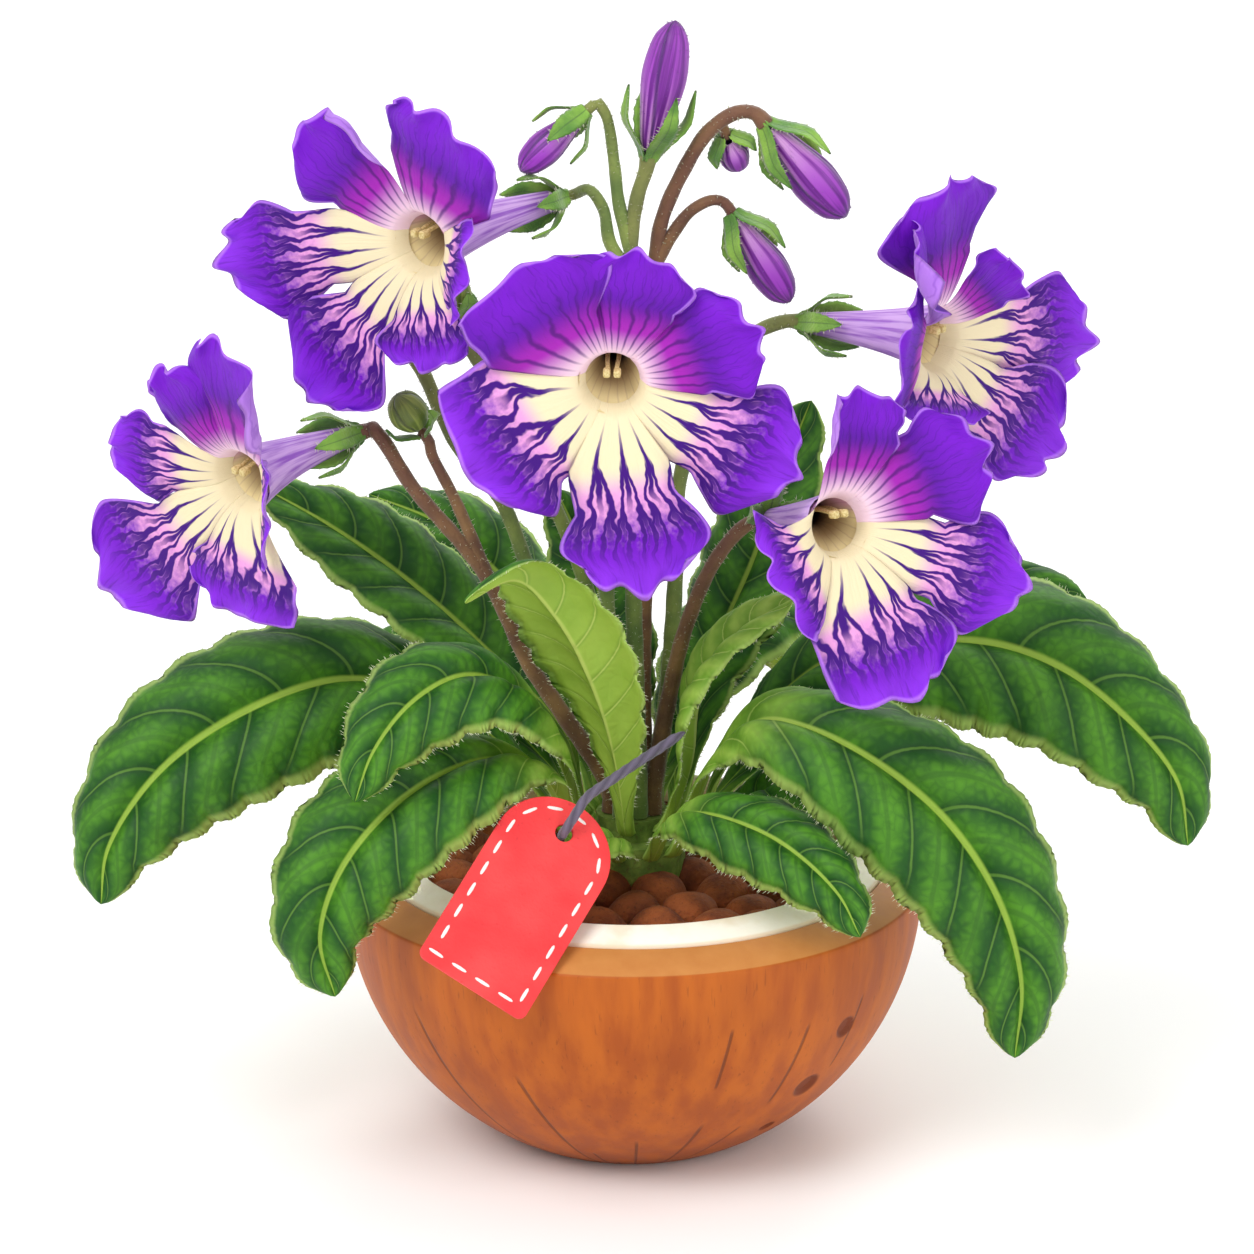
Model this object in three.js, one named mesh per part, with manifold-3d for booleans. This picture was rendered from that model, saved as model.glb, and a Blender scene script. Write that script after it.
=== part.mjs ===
// A potted cape primrose: a rosette of crenate leaves, eight flower stalks with violet blooms and
// buds, in half a coconut shell filled with clay balls, with a plain red tag tied to a leaf stalk.
// Millimetres, +Z up, the front faces -Y, and the origin is the middle of the shell's flat foot.

import * as THREE from "three";
import { mergeVertices } from "three/addons/utils/BufferGeometryUtils.js";
import Module from "manifold-3d";

const wasm = await Module();
wasm.setup();

// Driving dimensions
const GAP = 0.3;

const BOWL = {
  radius: 66.3,
  centre: 60.4,
  shellInner: 58,
  fleshOuter: 57.7,
  fleshInner: 51,
  rimSlope: 0.467,
  sides: 28,
  outerSteps: 6,
  innerSteps: 3,
};
const PORE_DISH = { depth: 0.9, height: 3, taper: 0.75, sides: 8 };
// Each pore: its direction round the bowl and below the rim plane in degrees, and its radius
const PORES = [
  { around: -40.5, down: 19, radius: 2.9 },
  { around: -45.5, down: 33, radius: 3.6 },
  { around: -48, down: 47, radius: 2.1 },
];

// The clay balls: how they are spaced and shifted, how the layer falls to the wall, and how a
// ball's size and height may differ
const BALLS = {
  radius: 6.9,
  smallest: 0.88,
  spacing: 13.2,
  rows: 5,
  jitter: 1.2,
  centreZ: 59.4,
  domeDrop: 1.6,
  heightRange: 1.2,
  wallGap: 0.9,
};
const BED_TOP = 60.5;

const CROWN = { footZ: 46, shoulderZ: 70.5, topZ: 76, lowRadius: 12, topRadius: 8.5, sides: 16 };
// Where the two rings of leaf stalks start
const LEAF_RINGS = [
  { radius: 13.2, z: 68.9 },
  { radius: 9.8, z: 74 },
];
const STALK_RING = 5.3;

const LEAF = { thickness: 0.8, stalkThickness: 2.4, stalkHalf: 2.1, toothDepth: 1.5 };
// Every leaf stalk leaves the crown the same way: so far outwards and upwards
const LEAF_NECK = { out: 2.3, up: 1.9 };
// Shares of a leaf's length where the stalk and the blade's foot have a full row of points, and
// the share from which the teeth set the points along the edge
const LEAF_STALK_ROWS = [0, 0.06, 0.13, 0.2, 0.26, 0.32];
const LEAF_TEETH_START = 0.34;
const PETAL = { thickness: 0.8, tubeWall: 0.8, baseRadius: 1.9, throatRadius: 7.8 };
// Neighbouring lobes meet out to the radius, unless they stand further apart than the last angle;
// a side that has no neighbour to meet spreads by the lone angle
const LOBE_JOIN = { radius: 18, overlap: 1.06, widest: 48, lone: 30, apart: 100 };
const SEPAL = { root: 2.2, foot: 1.2, half: 2.1, thickness: 0.8 };
const SCAPE_RADIUS = 1.9;
const PEDICEL_RADIUS = 1.45;

const COLOURS = {
  shell: 0xc0641f,
  flesh: 0xf7ecd9,
  clay: 0x6e351a,
  crown: 0x6f9433,
  leafDark: 0x2f6a2f,
  leafLight: 0x7fa83a,
  stalkGreen: 0x6f9a3a,
  stalkBrown: 0x6b4a35,
  petal: 0x6a22bd,
  bud: 0x8a2fa8,
  anther: 0xf0e2ae,
  tag: 0xf7484c,
  cord: 0x5f5767,
};

// Small helpers

const TAU = 2 * Math.PI;
const UP = new THREE.Vector3(0, 0, 1);
const vec = (p) => new THREE.Vector3(p[0], p[1], p[2]);
const rad = (degrees) => (degrees * Math.PI) / 180;
const mix = (a, b, t) => a + (b - a) * t;
const clamp01 = (t) => Math.min(1, Math.max(0, t));
const smooth = (t) => clamp01(t) ** 2 * (3 - 2 * clamp01(t));

function seededRandom(seed) {
  let state = seed;
  return () => {
    state = (state * 1664525 + 1013904223) % 4294967296;
    return state / 4294967296;
  };
}

function geometryOf(points, triangles) {
  const geometry = new THREE.BufferGeometry();
  const positions = points.flatMap((p) => [p.x, p.y, p.z]);
  geometry.setAttribute("position", new THREE.Float32BufferAttribute(positions, 3));
  geometry.setIndex(triangles.flat());
  return geometry;
}

function solidOf(geometry) {
  const bare = geometry.clone();
  bare.deleteAttribute("normal");
  bare.deleteAttribute("uv");
  const merged = mergeVertices(bare, 1e-4);
  return new wasm.Manifold(
    new wasm.Mesh({
      numProp: 3,
      vertProperties: new Float32Array(merged.attributes.position.array),
      triVerts: new Uint32Array(merged.index.array),
    }),
  );
}

function geometryOfSolid(solid) {
  const mesh = solid.getMesh();
  const geometry = new THREE.BufferGeometry();
  geometry.setAttribute("position", new THREE.BufferAttribute(mesh.vertProperties, 3));
  geometry.setIndex(new THREE.BufferAttribute(mesh.triVerts, 1));
  return geometry;
}

// Joins closed pieces into one solid, and drops loose scraps
function fused(geometries) {
  const whole = geometries.map(solidOf).reduce((sum, next) => sum.add(next));
  const bodies = whole.decompose().sort((a, b) => b.volume() - a.volume());
  return geometryOfSolid(bodies[0]);
}

const model = new THREE.Group();
model.name = "potted_cape_primrose";

function addPiece(name, geometry, colour, roughness = 0.6) {
  const shaded = geometry.index ? geometry.toNonIndexed() : geometry;
  shaded.computeVertexNormals();
  const material = new THREE.MeshStandardMaterial({ color: colour, roughness, metalness: 0 });
  const mesh = new THREE.Mesh(shaded, material);
  mesh.name = name;
  model.add(mesh);
}

// A thin sheet made solid: the surface, its copy on the other side and a wall round its edge.
// Both faces have the same triangles, so they stay parallel however the sheet waves.
function slab(points, triangles, thicknessOf) {
  const normals = points.map(() => new THREE.Vector3());
  for (const [a, b, c] of triangles) {
    const ab = points[b].clone().sub(points[a]);
    const ac = points[c].clone().sub(points[a]);
    const facing = ab.cross(ac);
    [a, b, c].forEach((i) => normals[i].add(facing));
  }
  const count = points.length;
  const front = points.map((p, i) => {
    return p.clone().addScaledVector(normals[i].normalize(), thicknessOf(i) / 2);
  });
  const back = points.map((p, i) => p.clone().addScaledVector(normals[i], -thicknessOf(i) / 2));
  const faces = [];
  const edges = new Set();
  for (const [a, b, c] of triangles) {
    faces.push([a, b, c], [c + count, b + count, a + count]);
    [[a, b], [b, c], [c, a]].forEach(([from, to]) => edges.add(`${from},${to}`));
  }
  for (const edge of edges) {
    const [from, to] = edge.split(",").map(Number);
    if (!edges.has(`${to},${from}`)) {
      faces.push([to, from, from + count], [to, from + count, to + count]);
    }
  }
  return geometryOf([...front, ...back], faces);
}

// Triangles between two rows of points that run the same way, each a list of {index, at}
function strip(left, right) {
  const triangles = [];
  let i = 0;
  let j = 0;
  while (i < left.length - 1 || j < right.length - 1) {
    const nextLeft = i < left.length - 1 ? left[i + 1].at : Infinity;
    const nextRight = j < right.length - 1 ? right[j + 1].at : Infinity;
    if (nextLeft <= nextRight) {
      triangles.push([left[i].index, right[j].index, left[i + 1].index]);
      i += 1;
    } else {
      triangles.push([left[i].index, right[j].index, right[j + 1].index]);
      j += 1;
    }
  }
  return triangles.filter(([a, b, c]) => a !== b && b !== c && a !== c);
}

function roundTube(points, radius, sides, steps) {
  const section = new THREE.Shape();
  for (let i = 0; i < sides; i += 1) {
    const turn = (TAU * i) / sides;
    const x = radius * Math.cos(turn);
    const y = radius * Math.sin(turn);
    if (i === 0) section.moveTo(x, y);
    else section.lineTo(x, y);
  }
  section.closePath();
  const route = new THREE.CatmullRomCurve3(points.map(vec), false, "centripetal");
  return new THREE.ExtrudeGeometry(section, { steps, bevelEnabled: false, extrudePath: route });
}

// Points of a latitude arc on a sphere round the bowl's centre, from one radius to another
function bowlArc(radius, fromR, toR, steps) {
  const start = Math.asin(Math.min(1, fromR / radius));
  const end = Math.asin(Math.min(1, toR / radius));
  const arc = [];
  for (let i = 0; i <= steps; i += 1) {
    const angle = mix(start, end, i / steps);
    arc.push([radius * Math.sin(angle), BOWL.centre - radius * Math.cos(angle)]);
  }
  return arc;
}

function turned(profile, sides) {
  const lathe = new THREE.LatheGeometry(
    profile.map(([r, z]) => new THREE.Vector2(r, z)),
    sides,
  );
  lathe.rotateX(Math.PI / 2);
  return lathe;
}

// The bowl

const rimHeight = (radius) => BOWL.centre + (BOWL.radius - radius) * BOWL.rimSlope;
const FOOT_RADIUS = Math.sqrt(BOWL.radius ** 2 - BOWL.centre ** 2);

function coconutShell() {
  const profile = [
    [0, 0],
    ...bowlArc(BOWL.radius, FOOT_RADIUS, BOWL.radius, BOWL.outerSteps),
    [BOWL.shellInner, rimHeight(BOWL.shellInner)],
    ...bowlArc(BOWL.shellInner, 0, BOWL.shellInner, BOWL.innerSteps).reverse(),
  ];
  let shell = solidOf(turned(profile, BOWL.sides));
  for (const pore of PORES) {
    const reach = BOWL.radius * Math.cos(rad(pore.down));
    const place = vec([
      reach * Math.cos(rad(pore.around)),
      reach * Math.sin(rad(pore.around)),
      BOWL.centre - BOWL.radius * Math.sin(rad(pore.down)),
    ]);
    const outward = place.clone().sub(vec([0, 0, BOWL.centre])).normalize();
    const floorRadius = pore.radius * PORE_DISH.taper;
    const { height, sides, depth } = PORE_DISH;
    const dish = new THREE.CylinderGeometry(pore.radius, floorRadius, height, sides);
    dish.rotateX(Math.PI / 2);
    dish.applyQuaternion(new THREE.Quaternion().setFromUnitVectors(UP, outward));
    const middle = place.clone().addScaledVector(outward, height / 2 - depth);
    dish.translate(middle.x, middle.y, middle.z);
    shell = shell.subtract(solidOf(dish));
  }
  return geometryOfSolid(shell);
}

function whiteLining() {
  const profile = [
    ...bowlArc(BOWL.fleshOuter, 0, BOWL.fleshOuter, BOWL.innerSteps),
    [BOWL.fleshOuter, rimHeight(BOWL.fleshOuter)],
    [BOWL.fleshInner, rimHeight(BOWL.fleshInner)],
    ...bowlArc(BOWL.fleshInner, 0, BOWL.fleshInner, BOWL.innerSteps).reverse(),
  ];
  return turned(profile, BOWL.sides);
}

// The clay balls, a hexagonal layer with seeded shifts, fused to the bed that they cover
function clayMedium() {
  const random = seededRandom(7);
  const bedRadius = BOWL.fleshInner - GAP;
  const bed = turned(
    [...bowlArc(bedRadius, 0, bedRadius, BOWL.innerSteps), [bedRadius, BED_TOP], [0, BED_TOP]],
    BOWL.sides,
  );
  let whole = solidOf(bed);
  const reach = bedRadius - BALLS.radius - BALLS.wallGap;
  const rowStep = BALLS.spacing * Math.sin(rad(60));
  for (let row = -BALLS.rows; row <= BALLS.rows; row += 1) {
    for (let column = -BALLS.rows; column <= BALLS.rows; column += 1) {
      const shift = row % 2 === 0 ? 0 : BALLS.spacing / 2;
      let x = column * BALLS.spacing + shift + (random() - 0.5) * 2 * BALLS.jitter;
      let y = row * rowStep + (random() - 0.5) * 2 * BALLS.jitter;
      const size = BALLS.radius * mix(BALLS.smallest, 1, random());
      const lift = (random() - 0.5) * BALLS.heightRange;
      const away = Math.hypot(x, y);
      if (away > reach + BALLS.spacing / 2 || away < CROWN.lowRadius - 2) continue;
      if (away > reach) {
        x *= reach / away;
        y *= reach / away;
      }
      const ball = new THREE.SphereGeometry(size, 6, 4);
      ball.rotateX(Math.PI / 2);
      ball.rotateZ(random() * TAU);
      const z = BALLS.centreZ - BALLS.domeDrop * (away / reach) ** 2 + lift;
      ball.translate(x, y, z);
      whole = whole.add(solidOf(ball));
    }
  }
  const holeRadius = CROWN.lowRadius + GAP;
  const hole = new THREE.CylinderGeometry(holeRadius, holeRadius, BOWL.centre, CROWN.sides);
  hole.rotateX(Math.PI / 2);
  hole.translate(0, 0, CROWN.footZ - GAP + BOWL.centre / 2);
  whole = whole.subtract(solidOf(hole));
  const bodies = whole.decompose().sort((a, b) => b.volume() - a.volume());
  return geometryOfSolid(bodies[0]);
}

function crown() {
  const { footZ, shoulderZ, topZ, lowRadius, topRadius } = CROWN;
  return turned(
    [
      [0, footZ],
      [lowRadius - 4, footZ],
      [lowRadius, footZ + 12],
      [lowRadius, shoulderZ],
      [topRadius, shoulderZ + 0.6],
      [topRadius, topZ],
      [0, topZ],
    ],
    CROWN.sides,
  );
}

// Leaves

// Each leaf: the ring and the direction in degrees that its stalk starts from, the rest of its
// midrib, its half width, the teeth on each side, how far its halves arch and droop, and its roll
const LEAVES = {
  leaf_left_large: {
    ring: 0, from: 176, half: 19, teeth: 13, cup: -0.18, roll: [-30, -60],
    rib: [[-25, 1, 86], [-44, 3, 101.5], [-65, -2, 108], [-86, -9, 103.5], [-106, -16, 91.5],
      [-118, -22, 75], [-120, -24, 62]],
  },
  leaf_left_upper: {
    ring: 1, from: 166, half: 14, teeth: 11, cup: 0.1, roll: [-14, -34],
    rib: [[-16, 6, 93], [-35, 13, 111.5], [-52, 16, 126], [-69, 18, 138], [-85, 20, 147]],
  },
  leaf_left_back: {
    ring: 1, from: 138, half: 13, teeth: 8, cup: -0.05, roll: [0, -30],
    rib: [[-13, 26, 94], [-25, 45, 110], [-43, 56, 125.5], [-62, 62, 132.5]],
  },
  leaf_left_arched: {
    ring: 1, from: 205, half: 12.5, teeth: 10, cup: -0.25, roll: [-16, -42],
    rib: [[-17, -17, 97], [-29, -31, 116.5], [-39, -41, 121.5], [-49, -49, 118], [-57, -55, 109],
      [-61, -58, 98.5]],
  },
  leaf_front_left: {
    ring: 0, from: 222, half: 15.5, teeth: 12, cup: -0.2, roll: [14, -60],
    rib: [[-19, -18.5, 90.5], [-32, -31, 99], [-50, -46, 95.5], [-64, -56, 82.5], [-69, -60, 68],
      [-66, -58, 53]],
  },
  leaf_front_upright: {
    ring: 1, from: 262, half: 11.5, teeth: 10, cup: 0.1, roll: [0, 40],
    rib: [[-3.5, -18, 94], [-9, -26, 115], [-17, -33, 133], [-26, -37, 143], [-37, -41, 139]],
  },
  leaf_right_pale: {
    ring: 1, from: 307, half: 11, teeth: 9, cup: 0.12, roll: [10, 30],
    rib: [[12.5, -12, 92], [15, -15, 110], [24, -18, 124], [36, -20, 133]],
  },
  leaf_right_large: {
    ring: 0, from: -4, half: 20, teeth: 14, cup: -0.15, roll: [14, 58],
    rib: [[19, 0, 84], [30, 3, 99], [47, 6, 111], [77, 4, 115], [95, 0, 111], [110, -4, 101],
      [123, -8, 86], [126, -10, 71]],
  },
  leaf_front_right_large: {
    ring: 0, from: -51, half: 18, teeth: 14, cup: -0.2, roll: [16, 50],
    rib: [[17, -17, 92], [28, -28, 107], [38, -35, 108], [55, -42, 101], [70, -47, 89],
      [81, -50, 72], [86, -52, 54], [85, -52, 36]],
  },
  leaf_front_right_small: {
    ring: 0, from: -73, half: 10, teeth: 8, cup: -0.2, roll: [10, 40],
    rib: [[8, -24, 81], [15, -36, 88], [32, -49, 86], [45, -58, 77], [50, -61, 68]],
  },
  leaf_front_small: {
    ring: 0, from: -105, half: 5.5, teeth: 5, cup: -0.1, roll: [-8, -24],
    rib: [[-4, -22, 76], [-8, -29, 79], [-17, -34, 80]],
  },
  leaf_right_lower: {
    ring: 0, from: -26, half: 12, teeth: 9, cup: -0.1, roll: [10, 34],
    rib: [[20, -13, 79], [34, -20, 89], [49, -25, 94], [64, -29, 92]],
  },
  leaf_right_tall: {
    ring: 1, from: 27, half: 12, teeth: 9, cup: 0, roll: [0, 26],
    rib: [[17, 19, 103], [28, 27, 128], [36, 34, 150], [41, 36, 163]],
  },
  leaf_back_left_inner: {
    ring: 1, from: 101, half: 11, teeth: 7, cup: 0, roll: [0, 0],
    rib: [[-4, 24, 99], [-9, 36, 120], [-18, 42, 140]],
  },
  leaf_back_right_inner: {
    ring: 1, from: 63, half: 11, teeth: 7, cup: 0, roll: [0, 0],
    rib: [[14, 27, 97], [25, 41, 115], [38, 48, 122]],
  },
  leaf_right_back: {
    ring: 0, from: 19, half: 15, teeth: 10, cup: -0.12, roll: [8, 36],
    rib: [[28, 15, 84], [50, 27, 100], [74, 41, 111], [95, 43, 115], [106, 41, 112]],
  },
  leaf_back_right: {
    ring: 0, from: 52, half: 16, teeth: 10, cup: -0.2, roll: [0, 0],
    rib: [[11, 31, 86], [21, 52, 101], [33, 73, 101], [42, 89, 86], [47, 98, 66]],
  },
  leaf_back: {
    ring: 0, from: 92, half: 16, teeth: 10, cup: -0.2, roll: [0, 0],
    rib: [[-9, 29, 88], [-18, 49, 104], [-25, 72, 104], [-31, 90, 88], [-33, 99, 64]],
  },
  leaf_back_left: {
    ring: 0, from: 132, half: 16, teeth: 10, cup: -0.2, roll: [0, 0],
    rib: [[-24, 26, 83], [-42, 46, 96], [-60, 64, 94], [-74, 77, 77], [-80, 82, 56]],
  },
};

// A leaf's surface, by the share of its length u and the share of its half width v, -1 to 1
function leafSurface(leaf) {
  const ring = LEAF_RINGS[leaf.ring];
  const turn = rad(leaf.from);
  const outward = new THREE.Vector3(Math.cos(turn), Math.sin(turn), 0);
  const base = outward.clone().multiplyScalar(ring.radius).setZ(ring.z);
  const neck = base.clone().addScaledVector(outward, LEAF_NECK.out);
  neck.addScaledVector(UP, LEAF_NECK.up);
  const points = [base, neck, ...leaf.rib.map(vec)];
  const spine = new THREE.CatmullRomCurve3(points, false, "centripetal");
  const plan = spine.getPointAt(1).sub(base).setZ(0).normalize();
  const stalkSide = new THREE.Vector3(Math.sin(turn), -Math.cos(turn), 0);
  const bladeSide = plan.clone().cross(UP);
  return (u, v) => {
    const tangent = spine.getTangentAt(u);
    const side = stalkSide.clone().lerp(bladeSide, smooth(u / 0.3));
    side.addScaledVector(tangent, -side.dot(tangent)).normalize();
    const roll = mix(leaf.roll[0], leaf.roll[1], u) * smooth(u / 0.25);
    side.applyAxisAngle(tangent, rad(roll));
    const normal = side.clone().cross(tangent);
    const blade = clamp01((u - 0.06) / 0.94);
    const swell = Math.sin(Math.PI * blade ** 1.28) ** mix(1.15, 0.6, blade);
    const half = LEAF.stalkHalf * (1 - blade) + leaf.half * swell;
    const tooth = LEAF.toothDepth * Math.abs(Math.sin(Math.PI * leaf.teeth * u)) * smooth(blade * 5);
    const reach = Math.abs(v);
    const out = v * (half + (tooth - 0.5 * LEAF.toothDepth) * reach ** 4 * smooth(swell * 4));
    const ripple = 0.05 * leaf.half * Math.sin(TAU * 2.5 * u + 2 * v) * reach ** 3 * swell;
    const lift = half * (0.9 * reach * (1 - reach) + leaf.cup * reach ** 2) * smooth(blade * 3);
    return spine.getPointAt(u).addScaledVector(side, out).addScaledVector(normal, lift + ripple);
  };
}

function leafBlade(leaf) {
  const surface = leafSurface(leaf);
  const ribSteps = Math.max(7, Math.round(leaf.teeth * 0.65));
  const edgeSteps = leaf.teeth * 2;
  const points = [];
  const along = [];
  const tipIndex = 0;
  points.push(surface(1, 0));
  along.push(1);
  const line = (v, steps) => {
    const blade = Array.from({ length: steps }, (_, i) => i / steps);
    const shares = [...LEAF_STALK_ROWS, ...blade.filter((u) => u > LEAF_TEETH_START)];
    const row = shares.map((u) => {
      points.push(surface(u, v));
      along.push(u);
      return { index: points.length - 1, at: u };
    });
    row.push({ index: tipIndex, at: 1 });
    return row;
  };
  const rows = [-1, -0.5, 0, 0.5, 1].map((v) => line(v, Math.abs(v) === 1 ? edgeSteps : ribSteps));
  const triangles = rows.slice(1).flatMap((row, i) => strip(rows[i], row));
  return slab(points, triangles, (i) => {
    return mix(LEAF.stalkThickness, LEAF.thickness, smooth(along[i] / 0.22));
  });
}

// Blooms

// Each bloom: where its tube starts and its throat opens, the way it faces, and its lobes. A lobe
// has its direction round the throat in degrees, seen from the front, its length and width, how
// far its tip leans forward, and how far its two sides lie or fold forward; below 0 is backward
const BLOOMS = {
  upper_left: {
    base: [-17.3, 1, 219.4], throat: [-46.3, -28, 216.9], facing: [-0.6, -0.8, -0.04],
    lobes: [
      { turn: 68, length: 36, width: 34, lean: 10, sides: [0.2, -1.2] },
      { turn: 136, length: 36, width: 33, lean: 9, sides: [1.5, -1] },
      { turn: -168, length: 52, width: 28, lean: 9, sides: [1.2, -1.2] },
      { turn: -127, length: 47.5, width: 33, lean: 8, sides: [0.2, 1.3] },
      { turn: -79, length: 27, width: 27, lean: 6, sides: [2.4, 1.3] },
      { turn: -15, length: 18, width: 20, lean: 8, sides: [0.2, 1.3] },
    ],
  },
  left: {
    base: [-63, -9.2, 167.8], throat: [-86.3, -24, 162], facing: [-0.64, -0.75, -0.18],
    lobes: [
      { turn: 86, length: 37, width: 24, lean: 6, sides: [9, -1] },
      { turn: 118, length: 30.5, width: 24, lean: 7, sides: [-1.2, -1.2] },
      { turn: 174, length: 33.5, width: 25, lean: 8, sides: [1.2, -1.2] },
      { turn: -141, length: 51.5, width: 35, lean: 10, sides: [1.3, -0.6] },
      { turn: -103, length: 32, width: 24, lean: 6, sides: [1.4, 0.2] },
      { turn: -12, length: 15, width: 19, lean: 9, sides: [1.3, 1.3] },
    ],
  },
  centre: {
    base: [-3, -9.5, 197.5], throat: [-4.6, -46, 190.5], facing: [-0.04, -0.99, -0.08],
    lobes: [
      { turn: 24, length: 35.5, width: 28, lean: 7, sides: [1.2, -1.2] },
      { turn: 79, length: 33.5, width: 29, lean: 8, sides: [1.2, -1.4] },
      { turn: 122, length: 35, width: 34, lean: 8, sides: [1.4, 1.4] },
      { turn: -147, length: 36.5, width: 38, lean: 8, sides: [-1.5, -1.4] },
      { turn: -81, length: 47, width: 34, lean: 8, sides: [1.3, 1.3] },
      { turn: -26, length: 45, width: 34, lean: 5.5, sides: [-1.3, -1.3] },
    ],
  },
  right_lower: {
    base: [31, -9.5, 148.6], throat: [45, -48, 159], facing: [0.45, -0.85, 0.25],
    lobes: [
      { turn: 20, length: 37, width: 29, lean: 8, sides: [0.2, -1.2] },
      { turn: 80, length: 29.5, width: 25, lean: 8, sides: [1.4, 1.3] },
      { turn: -158, length: 23.5, width: 29, lean: 8, sides: [-1.2, 0.4] },
      { turn: -76, length: 40.5, width: 33, lean: 8, sides: [-1.2, 1.3] },
      { turn: -26, length: 45.5, width: 29, lean: 8, sides: [-0.6, -1.2] },
    ],
  },
  upper_right: {
    base: [39.5, 6.9, 189.4], throat: [67.5, -8.1, 189.7], facing: [0.8, -0.6, 0],
    lobes: [
      { turn: -11, length: 50, width: 32, lean: 10, sides: [-1.2, -1.2] },
      { turn: 48, length: 22, width: 19, lean: 11, sides: [1.2, 1.2] },
      { turn: 101, length: 40, width: 38, lean: 8, sides: [1.2, -5] },
      { turn: 126, length: 37, width: 24, lean: 9, sides: [-8, 11] },
      { turn: 160, length: 24.5, width: 22, lean: 8, sides: [0.2, 1.3] },
      { turn: -105, length: 18, width: 31, lean: 8, sides: [-0.6, 1.3] },
      { turn: -44, length: 46, width: 31, lean: 12, sides: [-1.2, 1.2] },
    ],
  },
};

function bloomFrame(bloom) {
  const facing = vec(bloom.facing).normalize();
  const up = UP.clone().addScaledVector(facing, -UP.dot(facing)).normalize();
  const right = up.clone().cross(facing);
  return { facing, up, right, throat: vec(bloom.throat) };
}

// The middle line of the corolla tube, which bends from the calyx into the way the bloom faces
function tubeLine(bloom) {
  const { facing, throat } = bloomFrame(bloom);
  const base = vec(bloom.base);
  const bend = throat.clone().addScaledVector(facing, -0.45 * base.distanceTo(throat));
  return new THREE.QuadraticBezierCurve3(base, bend, throat);
}

const tubeRadius = (u) => mix(PETAL.baseRadius, PETAL.throatRadius, 0.7 * u + 0.3 * u ** 3);

function corollaTube(bloom) {
  const { up } = bloomFrame(bloom);
  const route = tubeLine(bloom);
  const sides = 8;
  const rings = 3;
  const points = [route.getPointAt(0)];
  const triangles = [];
  for (let ring = 0; ring <= rings; ring += 1) {
    const u = ring / rings;
    const tangent = route.getTangentAt(u);
    const rise = up.clone().addScaledVector(tangent, -up.dot(tangent)).normalize();
    const across = rise.clone().cross(tangent);
    for (let i = 0; i < sides; i += 1) {
      const turn = (TAU * i) / sides;
      const point = route.getPointAt(u);
      point.addScaledVector(across, tubeRadius(u) * Math.cos(turn));
      points.push(point.addScaledVector(rise, tubeRadius(u) * Math.sin(turn)));
      const here = 1 + ring * sides + i;
      const beside = 1 + ring * sides + ((i + 1) % sides);
      if (ring === 0) triangles.push([0, here, beside]);
      else triangles.push([here - sides, here, beside], [here - sides, beside, beside - sides]);
    }
  }
  return slab(points, triangles, () => PETAL.tubeWall);
}

// How far a lobe's neighbours are turned from it, in degrees: clockwise, then counter-clockwise
function neighbourAngles(bloom, lobe) {
  const others = bloom.lobes.filter((other) => other !== lobe);
  const turned = others.map((other) => (other.turn - lobe.turn + 720) % 360);
  return [360 - Math.max(...turned), Math.min(...turned)];
}

// A lobe's surface, by the share of its length u and the share of its half width v, -1 to 1
function lobeSurface(bloom, lobe) {
  const { facing, up, right, throat } = bloomFrame(bloom);
  const turn = rad(lobe.turn);
  const out = right.clone().multiplyScalar(Math.cos(turn)).addScaledVector(up, Math.sin(turn));
  const across = out.clone().cross(facing).negate();
  const sideAngles = neighbourAngles(bloom, lobe).map((angle) => {
    if (angle > LOBE_JOIN.apart) return rad(LOBE_JOIN.lone);
    return rad(Math.min((angle / 2) * LOBE_JOIN.overlap, LOBE_JOIN.widest));
  });
  return (u, v) => {
    const side = sideAngles[v < 0 ? 0 : 1];
    const spread = smooth(u / 0.8) * (1 - 0.3 * smooth((u - 0.76) / 0.24));
    const round = 1 - 0.17 * (v * u) ** 2;
    const start = PETAL.throatRadius - 0.9;
    const free = smooth(u / 0.3);
    const foot = start * Math.cos(side * v);
    const away = mix(foot, start + (lobe.length - start) * u * round, free);
    const joined = Math.min(away, LOBE_JOIN.radius) * Math.tan(side);
    const half = Math.max((lobe.width / 2) * spread, joined);
    const wide = mix(start * Math.sin(side * v), half * v, free);
    const frill = 0.9 * Math.cos(2.5 * Math.PI * v) * smooth((u - 0.75) / 0.25);
    const funnel = 5 * (1 - Math.exp(-5 * u)) - 1.2;
    const leaning = (lobe.lean - 5) * u ** 1.6;
    const sideLift = (v < 0 ? lobe.sides[0] : lobe.sides[1]) * v * v * smooth(u * 2.2);
    const wave = 0.7 * Math.sin(2.2 * Math.PI * v + lobe.turn) * u ** 2;
    const cup = -1.6 * v * v * smooth(u * 1.5);
    return throat
      .clone()
      .addScaledVector(out, away + frill)
      .addScaledVector(across, wide)
      .addScaledVector(facing, funnel + leaning + sideLift + wave + cup);
  };
}

// Rows across a lobe from its foot to its front, each with its share of the length, its points and
// how far out it reaches
const LOBE_ROWS = [
  { at: 0, count: 2, reach: 1 },
  { at: 0.3, count: 3, reach: 1 },
  { at: 0.62, count: 5, reach: 1 },
  { at: 0.86, count: 6, reach: 1 },
  { at: 1, count: 5, reach: 0.8 },
];

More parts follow.
